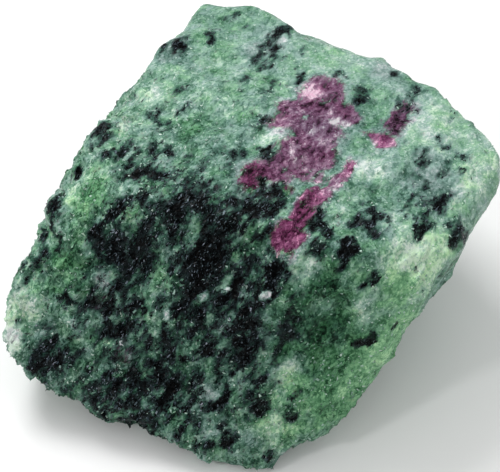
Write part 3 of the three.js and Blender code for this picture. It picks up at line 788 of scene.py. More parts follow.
class Graph:
    """Adds nodes to one shader or geometry tree and joins them."""

    def __init__(self, tree: NodeTree) -> None:
        """Works on the given tree."""
        self.tree = tree

    def feed(self, socket: Socket, value: Feed) -> None:
        """Joins a socket to another one, or sets its own value.

        Args:
            socket: The input to fill.
            value: Another node's output, or a plain value. None leaves the input as it is.
        """
        if isinstance(value, Socket):
            self.tree.links.new(value, socket)
        elif value is not None:
            socket.default_value = value

    def add(self, kind: str, inputs: dict[str | int, Feed] | None = None, **settings: str | bool) -> Node:
        """Adds one node.

        Args:
            kind: The node's type.
            inputs: What feeds its inputs, by name or by place.
            settings: The node's own settings.

        Returns:
            The node.
        """
        node = self.tree.nodes.new(kind)
        for name, value in settings.items():
            setattr(node, name, value)
        for key, value in (inputs or {}).items():
            self.feed(node.inputs[key], value)
        return node

    def math(self, operation: str, *values: Feed) -> Socket:
        """One sum on numbers, such as ADD or MULTIPLY."""
        return self.add("ShaderNodeMath", dict(enumerate(values)), operation=operation).outputs[0]

    def vector(self, operation: str, *values: Feed) -> Socket:
        """One sum on vectors.

        Args:
            operation: The sum, such as ADD. DOT_PRODUCT gives a number.
            values: What it works on. SCALE takes a vector and a number.

        Returns:
            The result.
        """
        inputs = dict(enumerate(values))
        if operation == "SCALE":
            inputs = {0: values[0], "Scale": values[1]}
        node = self.add("ShaderNodeVectorMath", inputs, operation=operation)
        return node.outputs["Value" if operation == "DOT_PRODUCT" else "Vector"]

    def ramp_to(self, value: Feed, low: float, high: float) -> Socket:
        """0 where value is under low, 1 where it is over high, and a soft change between."""
        inputs = {0: value, 1: low, 2: high}
        return self.add("ShaderNodeMapRange", inputs, interpolation_type="SMOOTHSTEP").outputs[0]

    def map_to(self, value: Feed, start: tuple[Feed, Feed], end: tuple[Feed, Feed]) -> Socket:
        """A value turned evenly from one range into another, and held at its ends."""
        return self.add("ShaderNodeMapRange", dict(enumerate((value, *start, *end)))).outputs[0]

    def swing(self, value: Feed, amount: float) -> Socket:
        """A value from 0 to 1 turned into one that swings about 0 by half of amount each way."""
        return self.math("MULTIPLY_ADD", value, amount, -amount / 2)

    def level(self, position: Feed) -> Socket:
        """A position's height."""
        return self.add("ShaderNodeSeparateXYZ", {0: position}).outputs[2]

    def layered(self, position: Feed, across: float, along: float) -> Socket:
        """A position measured in grains: across the layers, along them, and down them.

        Args:
            position: The position socket.
            across: A grain's width across the layers, in the position's unit.
            along: Its length along them.

        Returns:
            The position as a number of grains on each of the three axes.
        """
        parts = [
            self.vector("DOT_PRODUCT", position, tuple(axis / size))
            for axis, size in ((ACROSS_LAYERS, across), (ALONG_LAYERS, along), (DOWN_LAYERS, along))
        ]
        return self.add("ShaderNodeCombineXYZ", dict(enumerate(parts))).outputs[0]

    def mix(self, share: Feed, under: Feed, over: Feed, how: str = "MIX") -> Socket:
        """One colour over another, by its share."""
        inputs = {0: share, 6: under, 7: over}
        return self.add("ShaderNodeMix", inputs, data_type="RGBA", blend_type=how).outputs[2]

    def noise(self, position: Feed, scale: float, detail: float) -> Node:
        """Soft noise. Its first output is a number, and its second a colour."""
        inputs = {"Vector": position, "Scale": scale, "Detail": detail, "Roughness": FINER_NOISE}
        return self.add("ShaderNodeTexNoise", inputs)

    def cells(self, position: Feed) -> Node:
        """A pattern of cells one unit wide, each with its own colour and middle."""
        return self.add("ShaderNodeTexVoronoi", {"Vector": position, "Scale": 1.0})

    def tilted_cells(self, position: Feed) -> Socket:
        """Cells that each lean their own way, as broken facets do.

        Args:
            position: The position, measured in cells.

        Returns:
            A height about 0.
        """
        cells = self.cells(position)
        off_middle = self.vector("SUBTRACT", position, cells.outputs["Position"])
        lean = self.vector("SUBTRACT", cells.outputs["Color"], (0.5, 0.5, 0.5))
        return self.vector("DOT_PRODUCT", off_middle, lean)


class Shaping(Graph):
    """A geometry tree with named inputs, made for one kind of piece."""

    def __init__(self, name: str) -> None:
        """Starts a tree that takes a mesh and gives a mesh.

        Args:
            name: The tree's name.
        """
        super().__init__(bpy.data.node_groups.new(name, "GeometryNodeTree"))
        for way in ("INPUT", "OUTPUT"):
            self.tree.interface.new_socket("Geometry", in_out=way, socket_type="NodeSocketGeometry")
        self.source = self.add("NodeGroupInput")
        self.result = self.add("NodeGroupOutput")
        self.values: dict[str, Feed] = {}

    def asks(self, name: str, value: Feed, kind: str = "Float") -> Socket:
        """Adds a named input.

        Args:
            name: The input's name.
            value: What the modifier gives it.
            kind: The kind of socket.

        Returns:
            The input's socket inside the tree.
        """
        item = self.tree.interface.new_socket(name, in_out="INPUT", socket_type=f"NodeSocket{kind}")
        self.values[item.identifier] = value
        return self.source.outputs[name]

    def store(self, geometry: Feed, name: Enum, value: Feed, kind: str = "FLOAT") -> Socket:
        """Stores a value on a geometry's points.

        Args:
            geometry: The geometry.
            name: What the value is stored as.
            value: The value.
            kind: What kind of value it is.

        Returns:
            The geometry that holds the value.
        """
        inputs = {"Geometry": geometry, "Name": name.value, "Value": value}
        node = self.add("GeometryNodeStoreNamedAttribute", inputs, data_type=kind, domain="POINT")
        return node.outputs[0]

    def read(self, name: Enum) -> Socket:
        """A number that is stored on the geometry."""
        node = self.add("GeometryNodeInputNamedAttribute", {"Name": name.value}, data_type="FLOAT")
        return node.outputs["Attribute"]

    def chance(self, seed: int, low: Feed = 0.0, high: Feed = 1.0) -> Socket:
        """A random number of each point's own."""
        inputs = {2: low, 3: high, "Seed": seed}
        return self.add("FunctionNodeRandomValue", inputs, data_type="FLOAT").outputs[1]

    def chances(self, seed: int, low: float = 0.0, high: float = 1.0) -> Socket:
        """Three random numbers of each point's own, as a vector."""
        inputs = {0: (low,) * 3, 1: (high,) * 3, "Seed": seed}
        return self.add("FunctionNodeRandomValue", inputs, data_type="FLOAT_VECTOR").outputs[0]

    def run_on(self, mesh: Mesh, name: str) -> Mesh:
        """Runs the tree on a mesh.

        Args:
            mesh: The mesh that the tree starts from. It isn't changed.
            name: The name of the new mesh.

        Returns:
            The tree's result as a plain mesh.
        """
        holder = bpy.data.objects.new(f"{name}_source", mesh)
        bpy.context.scene.collection.objects.link(holder)
        modifier = holder.modifiers.new("shaping", "NODES")
        modifier.node_group = self.tree
        for identifier, value in self.values.items():
            modifier[identifier] = value
        bpy.context.view_layer.update()
        graph = bpy.context.evaluated_depsgraph_get()
        shaped = bpy.data.meshes.new_from_object(holder.evaluated_get(graph))
        shaped.name = name
        bpy.data.objects.remove(holder)
        return shaped


class Coat(Graph):
    """The shader tree of one material."""

    def __init__(self, name: str) -> None:
        """Starts a plain material.

        Args:
            name: The material's name.
        """
        self.material = bpy.data.materials.new(name)
        self.material.use_nodes = True
        super().__init__(self.material.node_tree)
        self.shader = self.tree.nodes["Principled BSDF"]

    def place(self) -> Socket:
        """The place on the piece, in metres."""
        return self.add("ShaderNodeTexCoord").outputs["Object"]

    def field(self, field: Field) -> Socket:
        """A field that the piece carries."""
        return self.add("ShaderNodeAttribute", attribute_name=field.value).outputs["Fac"]

    def parts_of(self, colour: Feed) -> Sequence[Socket]:
        """A colour's three numbers."""
        return self.add("ShaderNodeSeparateColor", {0: colour}).outputs

    def specks(self, position: Feed, size: float) -> Socket:
        """Soft specks of a size in millimetres, from 0 to 1."""
        scaled = self.vector("SCALE", position, 1 / (size * MM))
        return self.noise(scaled, scale=1.0, detail=2.0).outputs[0]

    def worn(self, swing: Feed) -> Socket:
        """A swing about 0, made calmer where the stone is worn smooth."""
        left = self.math("MULTIPLY_ADD", self.field(Field.ROUGH), 1.0 - WORN_CONTRAST, WORN_CONTRAST)
        return self.math("MULTIPLY", swing, left)

    def finish(self, colour: Feed, shine: float, gloss: Range, chance: Feed) -> Material:
        """Gives the material its colour and its gloss.

        Args:
            colour: The colour.
            shine: How strongly it mirrors light.
            gloss: The roughness of its shiniest and of its dullest grains.
            chance: A number from 0 to 1 of each grain's own.

        Returns:
            The material.
        """
        low, high = gloss
        self.feed(self.shader.inputs["Base Color"], colour)
        self.feed(self.shader.inputs["Specular IOR Level"], shine)
        self.feed(self.shader.inputs["Roughness"], self.math("MULTIPLY_ADD", chance, high - low, low))
        return self.material


# ---- Finishes ----------------------------------------------


def paint(*levels: int) -> Paint:
    """Turns a colour's screen values into the shader's own linear ones, by the sRGB curve.

    Args:
        levels: Its red, green and blue, from 0 to 255.

    Returns:
        Its linear red, green and blue, and an opacity of 1.
    """
    shares = (level / 255 for level in levels)
    return (*(c / 12.92 if c <= 0.04045 else ((c + 0.055) / 1.055) ** 2.4 for c in shares), 1.0)


@dataclass(frozen=True)
class MineralFinish:
    """How one mineral looks.

    Attributes:
        shades: Its colours from the darkest to the lightest, each with its place from 0 to 1.
        tints: What its colour is multiplied by where it is greyest, at a warmth of 0, and at 1.
        greyest: The warmth at which it is greyest.
    """

    shades: tuple[tuple[float, Paint], ...]
    tints: tuple[Colour, Colour, Colour] = ((1.0, 1.0, 1.0),) * 3
    greyest: float = -0.5

    def colour(self, graph: Graph, tone: Feed, warmth: Feed) -> Socket:
        """The mineral's colour at a tone and a warmth.

        Args:
            graph: The tree that it is added to.
            tone: Which of its shades it has, from 0 to 1.
            warmth: How rich it is.

        Returns:
            The colour.
        """
        node = graph.add("ShaderNodeValToRGB", {0: tone})
        ramp = node.color_ramp.elements
        ramp[0].position, ramp[0].color = self.shades[0]
        ramp[1].position, ramp[1].color = self.shades[-1]
        for place, shade in self.shades[1:-1]:
            ramp.new(place).color = shade
        grey, cool, warm = (tint + (1.0,) for tint in self.tints)
        tint = graph.mix(warmth, cool, warm)
        tint = graph.mix(graph.ramp_to(warmth, self.greyest, 0.0), grey, tint)
        return graph.mix(1.0, node.outputs[0], tint, "MULTIPLY")


ZOISITE = MineralFinish(
    shades=(
        (0.00, paint(6, 16, 13)),
        (0.20, paint(30, 59, 48)),
        (0.40, paint(65, 104, 87)),
        (0.60, paint(109, 147, 132)),
        (0.80, paint(150, 183, 169)),
        (1.00, paint(207, 224, 214)),
    ),
    tints=((1.16, 0.92, 1.07), (1.1, 1.0, 1.08), (0.79, 1.03, 0.66)),
)
HORNBLENDE = MineralFinish(
    shades=(
        (0.00, paint(84, 110, 100)),
        (0.30, paint(62, 84, 76)),
        (0.50, paint(42, 58, 53)),
        (0.70, paint(20, 30, 28)),
        (0.85, paint(6, 10, 9)),
        (1.00, paint(1, 2, 2)),
    ),
    tints=((1.15, 0.88, 1.1), (1.05, 0.94, 1.2), (0.9, 1.04, 0.85)),
)
RUBY = MineralFinish(
    shades=(
        (0.00, paint(24, 12, 20)),
        (0.20, paint(70, 42, 64)),
        (0.40, paint(103, 69, 96)),
        (0.60, paint(126, 98, 122)),
        (0.80, paint(156, 134, 153)),
        (1.00, paint(214, 200, 211)),
    ),
    tints=((1.0, 1.2, 1.1), (1.0, 1.16, 1.06), (1.12, 0.56, 0.8)),
)
# Pale cleavage flakes: their pale paint is partly painted highlight, in place of light mirrored off cleavage
# faces, and they also have some real gloss.
CLEAVAGE_AND_GLINT = MineralFinish(
    shades=(
        (0.00, paint(54, 84, 72)),
        (0.30, paint(96, 130, 114)),
        (0.60, paint(160, 190, 176)),
        (1.00, paint(232, 240, 232)),
    ),
)
# Painted highlights: the light grey end of these glints stands in for light mirrored off hornblende
# cleavage, on flakes that also mirror a little real light.
GLINT = MineralFinish(
    shades=(
        (0.00, paint(3, 6, 6)),
        (0.40, paint(22, 32, 32)),
        (0.65, paint(58, 76, 76)),
        (0.90, paint(108, 128, 126)),
        (1.00, paint(176, 188, 188)),
    ),
    tints=((1.1, 0.92, 1.15), (1.05, 0.94, 1.12), (0.9, 1.04, 0.85)),
)


@dataclass(frozen=True)
class MineralBlend:
    """How the colours of the three minerals run into each other.

    Attributes:
        ruby_edge: The shares of ruby at which it starts to show and at which it is all ruby.
        dark_edge: The same for hornblende.
        depth: How much deeper hornblende's own colour is than its share says.
    """

    ruby_edge: Range = (0.2, 0.78)
    dark_edge: Range = (0.2, 0.7)
    depth: float = 0.08

    def colour(self, graph: Graph, values: dict[Field, Feed]) -> Socket:
        """The colour of the mixed rock.

        Args:
            graph: The tree that it is added to.
            values: The values of the five fields that the minerals follow.

        Returns:
            The colour.
        """
        warmth = values[Field.WARM]
        green = ZOISITE.colour(graph, values[Field.TONE], warmth)
        ruby = RUBY.colour(graph, values[Field.BLUSH], warmth)
        black = HORNBLENDE.colour(graph, graph.math("ADD", values[Field.DARK], self.depth), warmth)
        colour = graph.mix(graph.ramp_to(values[Field.RED], *self.ruby_edge), green, ruby)
        return graph.mix(graph.ramp_to(values[Field.DARK], *self.dark_edge), colour, black)


@dataclass(frozen=True)
class RockFinish:
    """The finish of the stone's own surface, where the three minerals meet grain by grain.

    Attributes:
        name: The material's name.
        grain: Width and length of its grains.
        splinter: Width and length of the splinters within them.
        speck: The size of the softest specks.
        grain_swing: How far the lightness varies from grain to grain.
        splinter_swing: How far it varies from splinter to splinter.
        speck_swing: How far it varies from speck to speck.
        gap_shade: Painted shade: how much darker it is painted than the grains that stand on it, for the
            shade in the gaps between them.
        border_swing: How raggedly hornblende gives way to zoisite.
        red_grain_swing: How far the share of ruby varies from grain to grain.
        red_splinter_swing: How far it varies from splinter to splinter.
        blush_swing: How much more the lightness varies within ruby.
        hue_swing: How far the warmth varies.
        bump_height: How deep its grain is.
        splinter_bump: How deep its splinters are, as a share of that.
        gloss: The roughness of its shiniest and of its dullest grains.
        shine: How strongly it mirrors light.
        blend: How the minerals' colours meet.
    """

    name: str = "mixed_rock"
    grain: Size = (0.42, 0.62)
    splinter: Size = (0.19, 0.26)
    speck: float = 0.16
    grain_swing: float = 0.28
    splinter_swing: float = 0.32
    speck_swing: float = 0.38
    gap_shade: float = 0.07
    border_swing: float = 1.5
    red_grain_swing: float = 0.2
    red_splinter_swing: float = 0.24
    blush_swing: float = 1.2
    hue_swing: float = 0.3
    bump_height: float = 0.06
    splinter_bump: float = 0.6
    gloss: Range = (0.16, 0.45)
    shine: float = 0.05
    blend: MineralBlend = MineralBlend()

    def make(self) -> Material:
        """Makes the material.

        Returns:
            The material.
        """
        coat = Coat(self.name)
        place = coat.place()
        grains = coat.layered(place, *(size * MM for size in self.grain))
        splinters = coat.layered(place, *(size * MM for size in self.splinter))
        broad = coat.parts_of(coat.cells(grains).outputs["Color"])
        fine = coat.parts_of(coat.cells(splinters).outputs["Color"])
        values = self.mix_minerals(coat, broad, fine, coat.specks(place, self.speck))
        height = coat.tilted_cells(grains)
        height = coat.math("MULTIPLY_ADD", coat.tilted_cells(splinters), self.splinter_bump, height)
        inputs = {"Height": height, "Distance": self.bump_height * MM, "Strength": 1.0}
        coat.feed(coat.shader.inputs["Normal"], coat.add("ShaderNodeBump", inputs).outputs[0])
        return coat.finish(self.blend.colour(coat, values), self.shine, self.gloss, fine[1])

    def mix_minerals(
        self, coat: Coat, broad: Sequence[Socket], fine: Sequence[Socket], speck: Socket
    ) -> dict[Field, Feed]:
        """Lets the fields vary from grain to grain, so that the minerals interlock.

        Args:
            coat: The tree that this is added to.
            broad: Three numbers of each grain's own.
            fine: Three numbers of each splinter's own.
            speck: The specks.

        Returns:
            The value of each field.
        """
        splinters = coat.swing(fine[0], self.splinter_swing)
        swing = coat.math("ADD", coat.swing(broad[0], self.grain_swing), splinters)
        swing = coat.worn(coat.math("ADD", swing, coat.swing(speck, self.speck_swing)))
        red = coat.math("ADD", coat.field(Field.RED), coat.swing(broad[1], self.red_grain_swing))
        # Painted shade: the surface between the grains is painted darker.
        tone = coat.math("SUBTRACT", coat.field(Field.TONE), self.gap_shade)
        return {
            Field.DARK: coat.math("MULTIPLY_ADD", swing, self.border_swing, coat.field(Field.DARK)),
            Field.RED: coat.math("ADD", red, coat.swing(fine[1], self.red_splinter_swing)),
            Field.TONE: coat.math("ADD", tone, swing),
            Field.BLUSH: coat.math("MULTIPLY_ADD", swing, self.blush_swing, coat.field(Field.BLUSH)),
            Field.WARM: coat.math("ADD", coat.field(Field.WARM), coat.swing(fine[2], self.hue_swing)),
        }


@dataclass(frozen=True)
class GrainFinish:
    """The finish of grains that stand out, each with a colour of its own.

    Attributes:
        name: The material's name.
        tone_swing: How far the lightness varies from grain to grain, within zoisite and ruby.
        dark_swing: How far the share of hornblende varies.
        red_swing: How far the share of ruby varies.
        hue_swing: How far the warmth varies.
        speck_swing: How far the lightness varies within a grain.
        speck: The size of the specks that make it vary there.
        dark_lift: How much more hornblende the grains hold than the rock.
        gloss: The roughness of the shiniest and of the dullest grains.
        shine: How strongly they mirror light.
        own: A finish of one mineral alone, or None for the mix of minerals of the rock there.
        own_tone: The tone of that mineral in the middle of its swing, on black rock.
        follows: How much of the rock's own tone is added to it.
        blend: How the minerals' colours meet.
    """

    name: str
    tone_swing: float
    dark_swing: float = 0.3
    red_swing: float = 0.2
    hue_swing: float = 0.26
    speck_swing: float = 0.3
    speck: float = 0.14
    dark_lift: float = 0.0
    gloss: Range = (0.18, 0.45)
    shine: float = 0.3
    own: MineralFinish | None = None
    own_tone: float = 0.5
    follows: float = 0.0
    blend: MineralBlend = MineralBlend()

    def make(self) -> Material:
        """Makes the material.

        Returns:
            The material.
        """
        coat = Coat(self.name)
        grain = coat.add("ShaderNodeAttribute", attribute_name=Field.GRAIN.value)
        chances = coat.parts_of(grain.outputs["Color"])
        speck = coat.swing(coat.specks(coat.place(), self.speck), self.speck_swing)
        light = coat.worn(coat.math("ADD", coat.swing(chances[0], self.tone_swing), speck))
        warm = coat.math("ADD", coat.field(Field.WARM), coat.swing(chances[2], self.hue_swing))
        if self.own is not None:
            middle = coat.math("MULTIPLY_ADD", coat.field(Field.TONE), self.follows, self.own_tone)
            colour = self.own.colour(coat, coat.math("ADD", light, middle), warm)
        else:
            dark = coat.math("ADD", coat.field(Field.DARK), coat.swing(chances[1], self.dark_swing))
            values = {
                Field.DARK: coat.math("ADD", dark, self.dark_lift),
                Field.RED: coat.math("ADD", coat.field(Field.RED), coat.swing(chances[2], self.red_swing)),
                Field.TONE: coat.math("ADD", coat.field(Field.TONE), light),
                Field.BLUSH: coat.math("ADD", coat.field(Field.BLUSH), light),
                Field.WARM: warm,
            }
            colour = self.blend.colour(coat, values)
        return coat.finish(colour, self.shine, self.gloss, chances[1])


# ---- The stone's own surface -------------------------------


@dataclass(frozen=True)
class LayeredNoise:
    """Noise whose blots are drawn out along the layers of the rock.

    Attributes:
        name: What it is stored as.
        across: The size of its blots across the layers.
        along: Their size along the layers.
        detail: How many rounds of finer noise lie on it.
    """

    name: Noise
    across: float
    along: float
    detail: float


@dataclass
class StoneSurface:
    """The stone's own surface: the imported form, remeshed finely and broken into facets.

    Attributes:
        voxel: The size of the mesh's faces.
        weld: How near to each other corners of the solid are one corner.
        rounds: How many rounds of smoothing take the solid's own faces away.
        smoothing: How strong each round is, from 0 to 1.
        facet: Width and length of the larger broken facets.
        facet_height: How far those facets lean.
        chip: Width and length of the chips on them.
        chip_height: How far the chips lean.
        swell: The size of the slow swelling of the surface.
        swell_height: Its height.
        swell_detail: How many rounds of finer noise lie on it.
        foot: The height over which all of this fades out towards the floor.
        worn_towards: The side on which the stone is worn smooth.
        worn_over: How far from the middle it is fully rough and fully worn.
        worn: What share of the roughness is left there.
        noises: The noise that the minerals follow and that lies along the layers.
        drift: The size of the noise that makes their patches wander.
        hue: The size of the noise that changes their warmth.
        soft_detail: How many rounds of finer noise lie on those two.
    """

    voxel: float = 0.27
    weld: float = 0.001
    rounds: int = 6
    smoothing: float = 0.5
    facet: Size = (1.5, 2.9)
    facet_height: float = 0.9
    chip: Size = (0.7, 1.1)
    chip_height: float = 0.5
    swell: float = 2.2
    swell_height: float = 0.3
    swell_detail: float = 2.0
    foot: float = 1.4
    worn_towards: Vector = Vector((0.75, 0.66, 0.0))
    worn_over: float = 14.0
    worn: float = 0.15
    noises: tuple[LayeredNoise, ...] = (
        LayeredNoise(Noise.CLUMPS, across=0.95, along=1.7, detail=5.0),
        LayeredNoise(Noise.MOTTLE, across=1.4, along=1.8, detail=5.0),
        LayeredNoise(Noise.STREAKS, across=0.55, along=1.7, detail=3.0),
    )
    drift: float = 2.4
    hue: float = 1.8
    soft_detail: float = 3.0

    def build(self, node: Object) -> Object:
        """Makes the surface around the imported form.

        Args:
            node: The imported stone.

        Returns:
            The surface as an object in millimetres, with its noise.
        """
        mesh = self.break_up().run_on(self.remesh(node), "stone_surface")
        self.rest_on_floor(mesh)
        stone = bpy.data.objects.new("stone_surface", mesh)
        bpy.context.scene.collection.objects.link(stone)
        return stone

    def remesh(self, node: Object) -> Mesh:
        """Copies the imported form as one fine, even mesh.

        Args:
            node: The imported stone.

        Returns:
            The mesh, in millimetres.
        """
        mesh = node.data.copy()
        mesh.transform(Matrix.Scale(1 / MM, 4))
        mesh.materials.clear()
        holder = bpy.data.objects.new("form", mesh)
        bpy.context.scene.collection.objects.link(holder)
        weld = holder.modifiers.new("weld", "WELD")
        weld.merge_threshold = self.weld
        remesh = holder.modifiers.new("remesh", "REMESH")
        remesh.mode = "VOXEL"
        remesh.voxel_size = self.voxel
        smooth = holder.modifiers.new("smooth", "SMOOTH")
        smooth.iterations = self.rounds
        smooth.factor = self.smoothing
        graph = bpy.context.evaluated_depsgraph_get()
        fine = bpy.data.meshes.new_from_object(holder.evaluated_get(graph))
        bpy.data.objects.remove(holder)
        return fine

    def break_up(self) -> Shaping:
        """Makes the tree that raises facets and chips, and stores the noise.

        Returns:
            The tree.
        """
        tree = Shaping("broken_surface")
        place = tree.add("GeometryNodeInputPosition").outputs[0]
        normal = tree.add("GeometryNodeInputNormal").outputs[0]
        side = tree.vector("DOT_PRODUCT", place, tuple(self.worn_towards))
        rough = tree.map_to(side, (-self.worn_over, self.worn_over), (1.0, self.worn))
        offset = tree.vector("SCALE", normal, self.height(tree, place, rough))
        inputs = {"Geometry": tree.source.outputs[0], "Offset": offset}
        mesh = tree.add("GeometryNodeSetPosition", inputs).outputs[0]
        drift = tree.noise(place, 1 / self.drift, self.soft_detail).outputs[1]
        mesh = tree.store(mesh, Noise.DRIFT, drift, "FLOAT_VECTOR")
        mesh = tree.store(mesh, Field.ROUGH, rough)
        for noise in self.noises:
            grains = tree.layered(place, noise.across, noise.along)
            mesh = tree.store(mesh, noise.name, tree.noise(grains, 1.0, noise.detail).outputs[0])
        hue = tree.noise(tree.vector("SCALE", place, 1 / self.hue), 1.0, self.soft_detail).outputs[0]
        tree.feed(tree.result.inputs[0], tree.store(mesh, Noise.HUE, hue))
        return tree

    def height(self, tree: Shaping, place: Feed, rough: Feed) -> Socket:
        """How far facets, chips and swelling raise each point.

        Args:
            tree: The tree that this is added to.
            place: The point's place.
            rough: How rough the stone is there, from 0 to 1.

        Returns:
            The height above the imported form.
        """
        facets = tree.tilted_cells(tree.layered(place, *self.facet))
        chips = tree.tilted_cells(tree.layered(place, *self.chip))
        swell = tree.swing(tree.noise(place, 1 / self.swell, self.swell_detail).outputs[0], 1.0)
        height = tree.math("MULTIPLY", facets, tree.asks("Facet Height", self.facet_height))
        height = tree.math("MULTIPLY_ADD", chips, tree.asks("Chip Height", self.chip_height), height)
        height = tree.math("MULTIPLY_ADD", swell, tree.asks("Swell Height", self.swell_height), height)
        foot = tree.asks("Foot Height", self.foot)
        fade = tree.map_to(tree.level(place), (0.0, foot), (0.0, 1.0))
        return tree.math("MULTIPLY", tree.math("MULTIPLY", height, rough), fade)

    @staticmethod
    def rest_on_floor(mesh: Mesh) -> None:
        """Keeps a mesh on or above the floor.

        Args:
            mesh: The mesh.
        """
        places = read_vectors(mesh, "position")
        places[:, 2] = np.maximum(places[:, 2], 0.0)
        mesh.attributes["position"].data.foreach_set("vector", places.astype(np.float32).ravel())
        mesh.update()


# ---- Grains that break out of it ---------------------------


@dataclass
class GrainCrust:
    """The grains of one mineral that stand out of the stone's surface.

    Attributes:
        name: The name of the piece.
        finish: What the grains are finished with.
        field: The field that says where they grow, or None for everywhere.
        keep: The field's values under which none and over which all grains stay.
        shun: Fields that keep the grains away, each with such values.
        count: How many grains grow on each square millimetre.
        spacing: The least distance between two grains.
        size: Their length, width and thickness.
        spread: The smallest and largest of them, as shares of that size.
        sink: How deep they sit, as a share of their thickness.
        lean: How far they rise out of the surface, in radians.
        spin: How far they turn away from the layers along it, in radians.
        seed: The seed of all that is random.
        kinds: How many different grains there are.
        corners: How many corners each grain has.
        floor_fade: The heights above the floor under which none and over which all grains stay.
    """

    name: str
    finish: GrainFinish
    field: Field | None
    keep: Range
    shun: tuple[tuple[Field, float, float], ...]
    count: float
    spacing: float
    size: tuple[float, float, float]
    spread: Range
    sink: float
    lean: float
    spin: float
    seed: int
    kinds: int = 7
    corners: int = 6
    floor_fade: Range = (0.45, 0.55)

    def build(self, stone: Object) -> Object:
        """Grows the grains on the stone.

        Args:
            stone: The stone's own surface, in millimetres, with its mineral fields.

        Returns:
            The grains as one object, in millimetres.
        """
        kinds = self.make_kinds()
        mesh = self.grow(kinds).run_on(stone.data, self.name)
        for kind in list(kinds.objects):
            bpy.data.objects.remove(kind)
        bpy.data.collections.remove(kinds)
        crust = bpy.data.objects.new(self.name, mesh)
        bpy.context.scene.collection.objects.link(crust)
        return crust

    def make_kinds(self) -> Collection:
        """Makes a few grains to repeat over the stone, each the hull of a handful of corners.

        Returns:
            The grains, one unit across.
        """
        kinds = bpy.data.collections.new(f"{self.name}_kinds")
        chance = np.random.default_rng(self.seed)
        for index in range(self.kinds):
            corners = chance.normal(size=(self.corners, 3))
            corners /= np.linalg.norm(corners, axis=1, keepdims=True)
            shape = bmesh.new()
            for corner in corners:
                shape.verts.new(corner / 2)
            bmesh.ops.convex_hull(shape, input=shape.verts)
            mesh = bpy.data.meshes.new(f"{self.name}_kind_{index}")
            shape.to_mesh(mesh)
            shape.free()
            kinds.objects.link(bpy.data.objects.new(mesh.name, mesh))
        return kinds

    def grow(self, kinds: Collection) -> Shaping:
        """Makes the tree that grows the grains on the surface and joins them.

        Args:
            kinds: The grains to repeat.

        Returns:
            The tree.
        """
        tree = Shaping(self.name)
        material = tree.asks("Finish", self.finish.make(), "Material")
        shapes = tree.asks("Grain Shapes", kinds, "Collection")
        spots, normal = self.spots(tree)
        library = tree.add(
            "GeometryNodeCollectionInfo",
            {"Collection": shapes, "Separate Children": True, "Reset Children": True},
        )
        smallest = tree.asks("Smallest", self.spread[0])
        largest = tree.asks("Largest", self.spread[1])
        share = tree.chance(self.seed + Draw.SIZE.value, smallest, largest)
        inputs = {
            "Points": spots,
            "Instance": library.outputs[0],
            "Pick Instance": True,
            "Rotation": self.turn(tree, normal),
            "Scale": tree.vector("SCALE", tree.asks("Grain Size", self.size, "Vector"), share),
        }
        grains = tree.add("GeometryNodeInstanceOnPoints", inputs)
        joined = tree.add("GeometryNodeRealizeInstances", {0: grains.outputs[0]})
        flat = tree.add("GeometryNodeSetShadeSmooth", {"Geometry": joined.outputs[0], "Shade Smooth": False})
        dressed = tree.add("GeometryNodeSetMaterial", {"Geometry": flat.outputs[0], "Material": material})
        tree.feed(tree.result.inputs[0], dressed.outputs[0])
        return tree

    def spots(self, tree: Shaping) -> tuple[Socket, Socket]:
        """The spots where grains sit, each sunk into the stone and with chances of its own.

        Args:
            tree: The tree that this is added to.

        Returns:
            The spots, and the stone's normal at each.
        """
        inputs = {
            "Mesh": tree.source.outputs[0],
            "Distance Min": tree.asks("Spacing", self.spacing),
            "Density Max": tree.asks("Grains Per Area", self.count),
            "Seed": tree.asks("Seed", self.seed, "Int"),
        }
        spread = tree.add("GeometryNodeDistributePointsOnFaces", inputs, distribute_method="POISSON")
        normal = spread.outputs["Normal"]
        inputs = {"Geometry": spread.outputs["Points"], "Selection": self.lost(tree)}
        spots = tree.add("GeometryNodeDeleteGeometry", inputs, domain="POINT").outputs[0]
        chances = tree.chances(self.seed + Draw.COLOUR.value)
        spots = tree.store(spots, Field.GRAIN, chances, "FLOAT_VECTOR")
        depth = tree.asks("Sink Depth", self.sink * self.size[2])
        down = tree.vector("SCALE", normal, tree.math("MULTIPLY", depth, -1.0))
        return tree.add("GeometryNodeSetPosition", {"Geometry": spots, "Offset": down}).outputs[0], normal

    def lost(self, tree: Shaping) -> Socket:
        """Whether a spot stays bare: near the floor, or where the grain's mineral isn't.

        Args:
            tree: The tree that this is added to.

        Returns:
            True where it stays bare.
        """
        place = tree.add("GeometryNodeInputPosition").outputs[0]
        odds = tree.ramp_to(tree.level(place), *self.floor_fade)
        if self.field is not None:
            odds = tree.math("MULTIPLY", odds, tree.ramp_to(tree.read(self.field), *self.keep))
        for field, low, high in self.shun:
            away = tree.math("SUBTRACT", 1.0, tree.ramp_to(tree.read(field), low, high))
            odds = tree.math("MULTIPLY", odds, away)
        inputs = {0: tree.chance(self.seed + Draw.STAYING.value), 1: odds}
        compare = tree.add("FunctionNodeCompare", inputs, data_type="FLOAT", operation="GREATER_EQUAL")
        return compare.outputs[0]

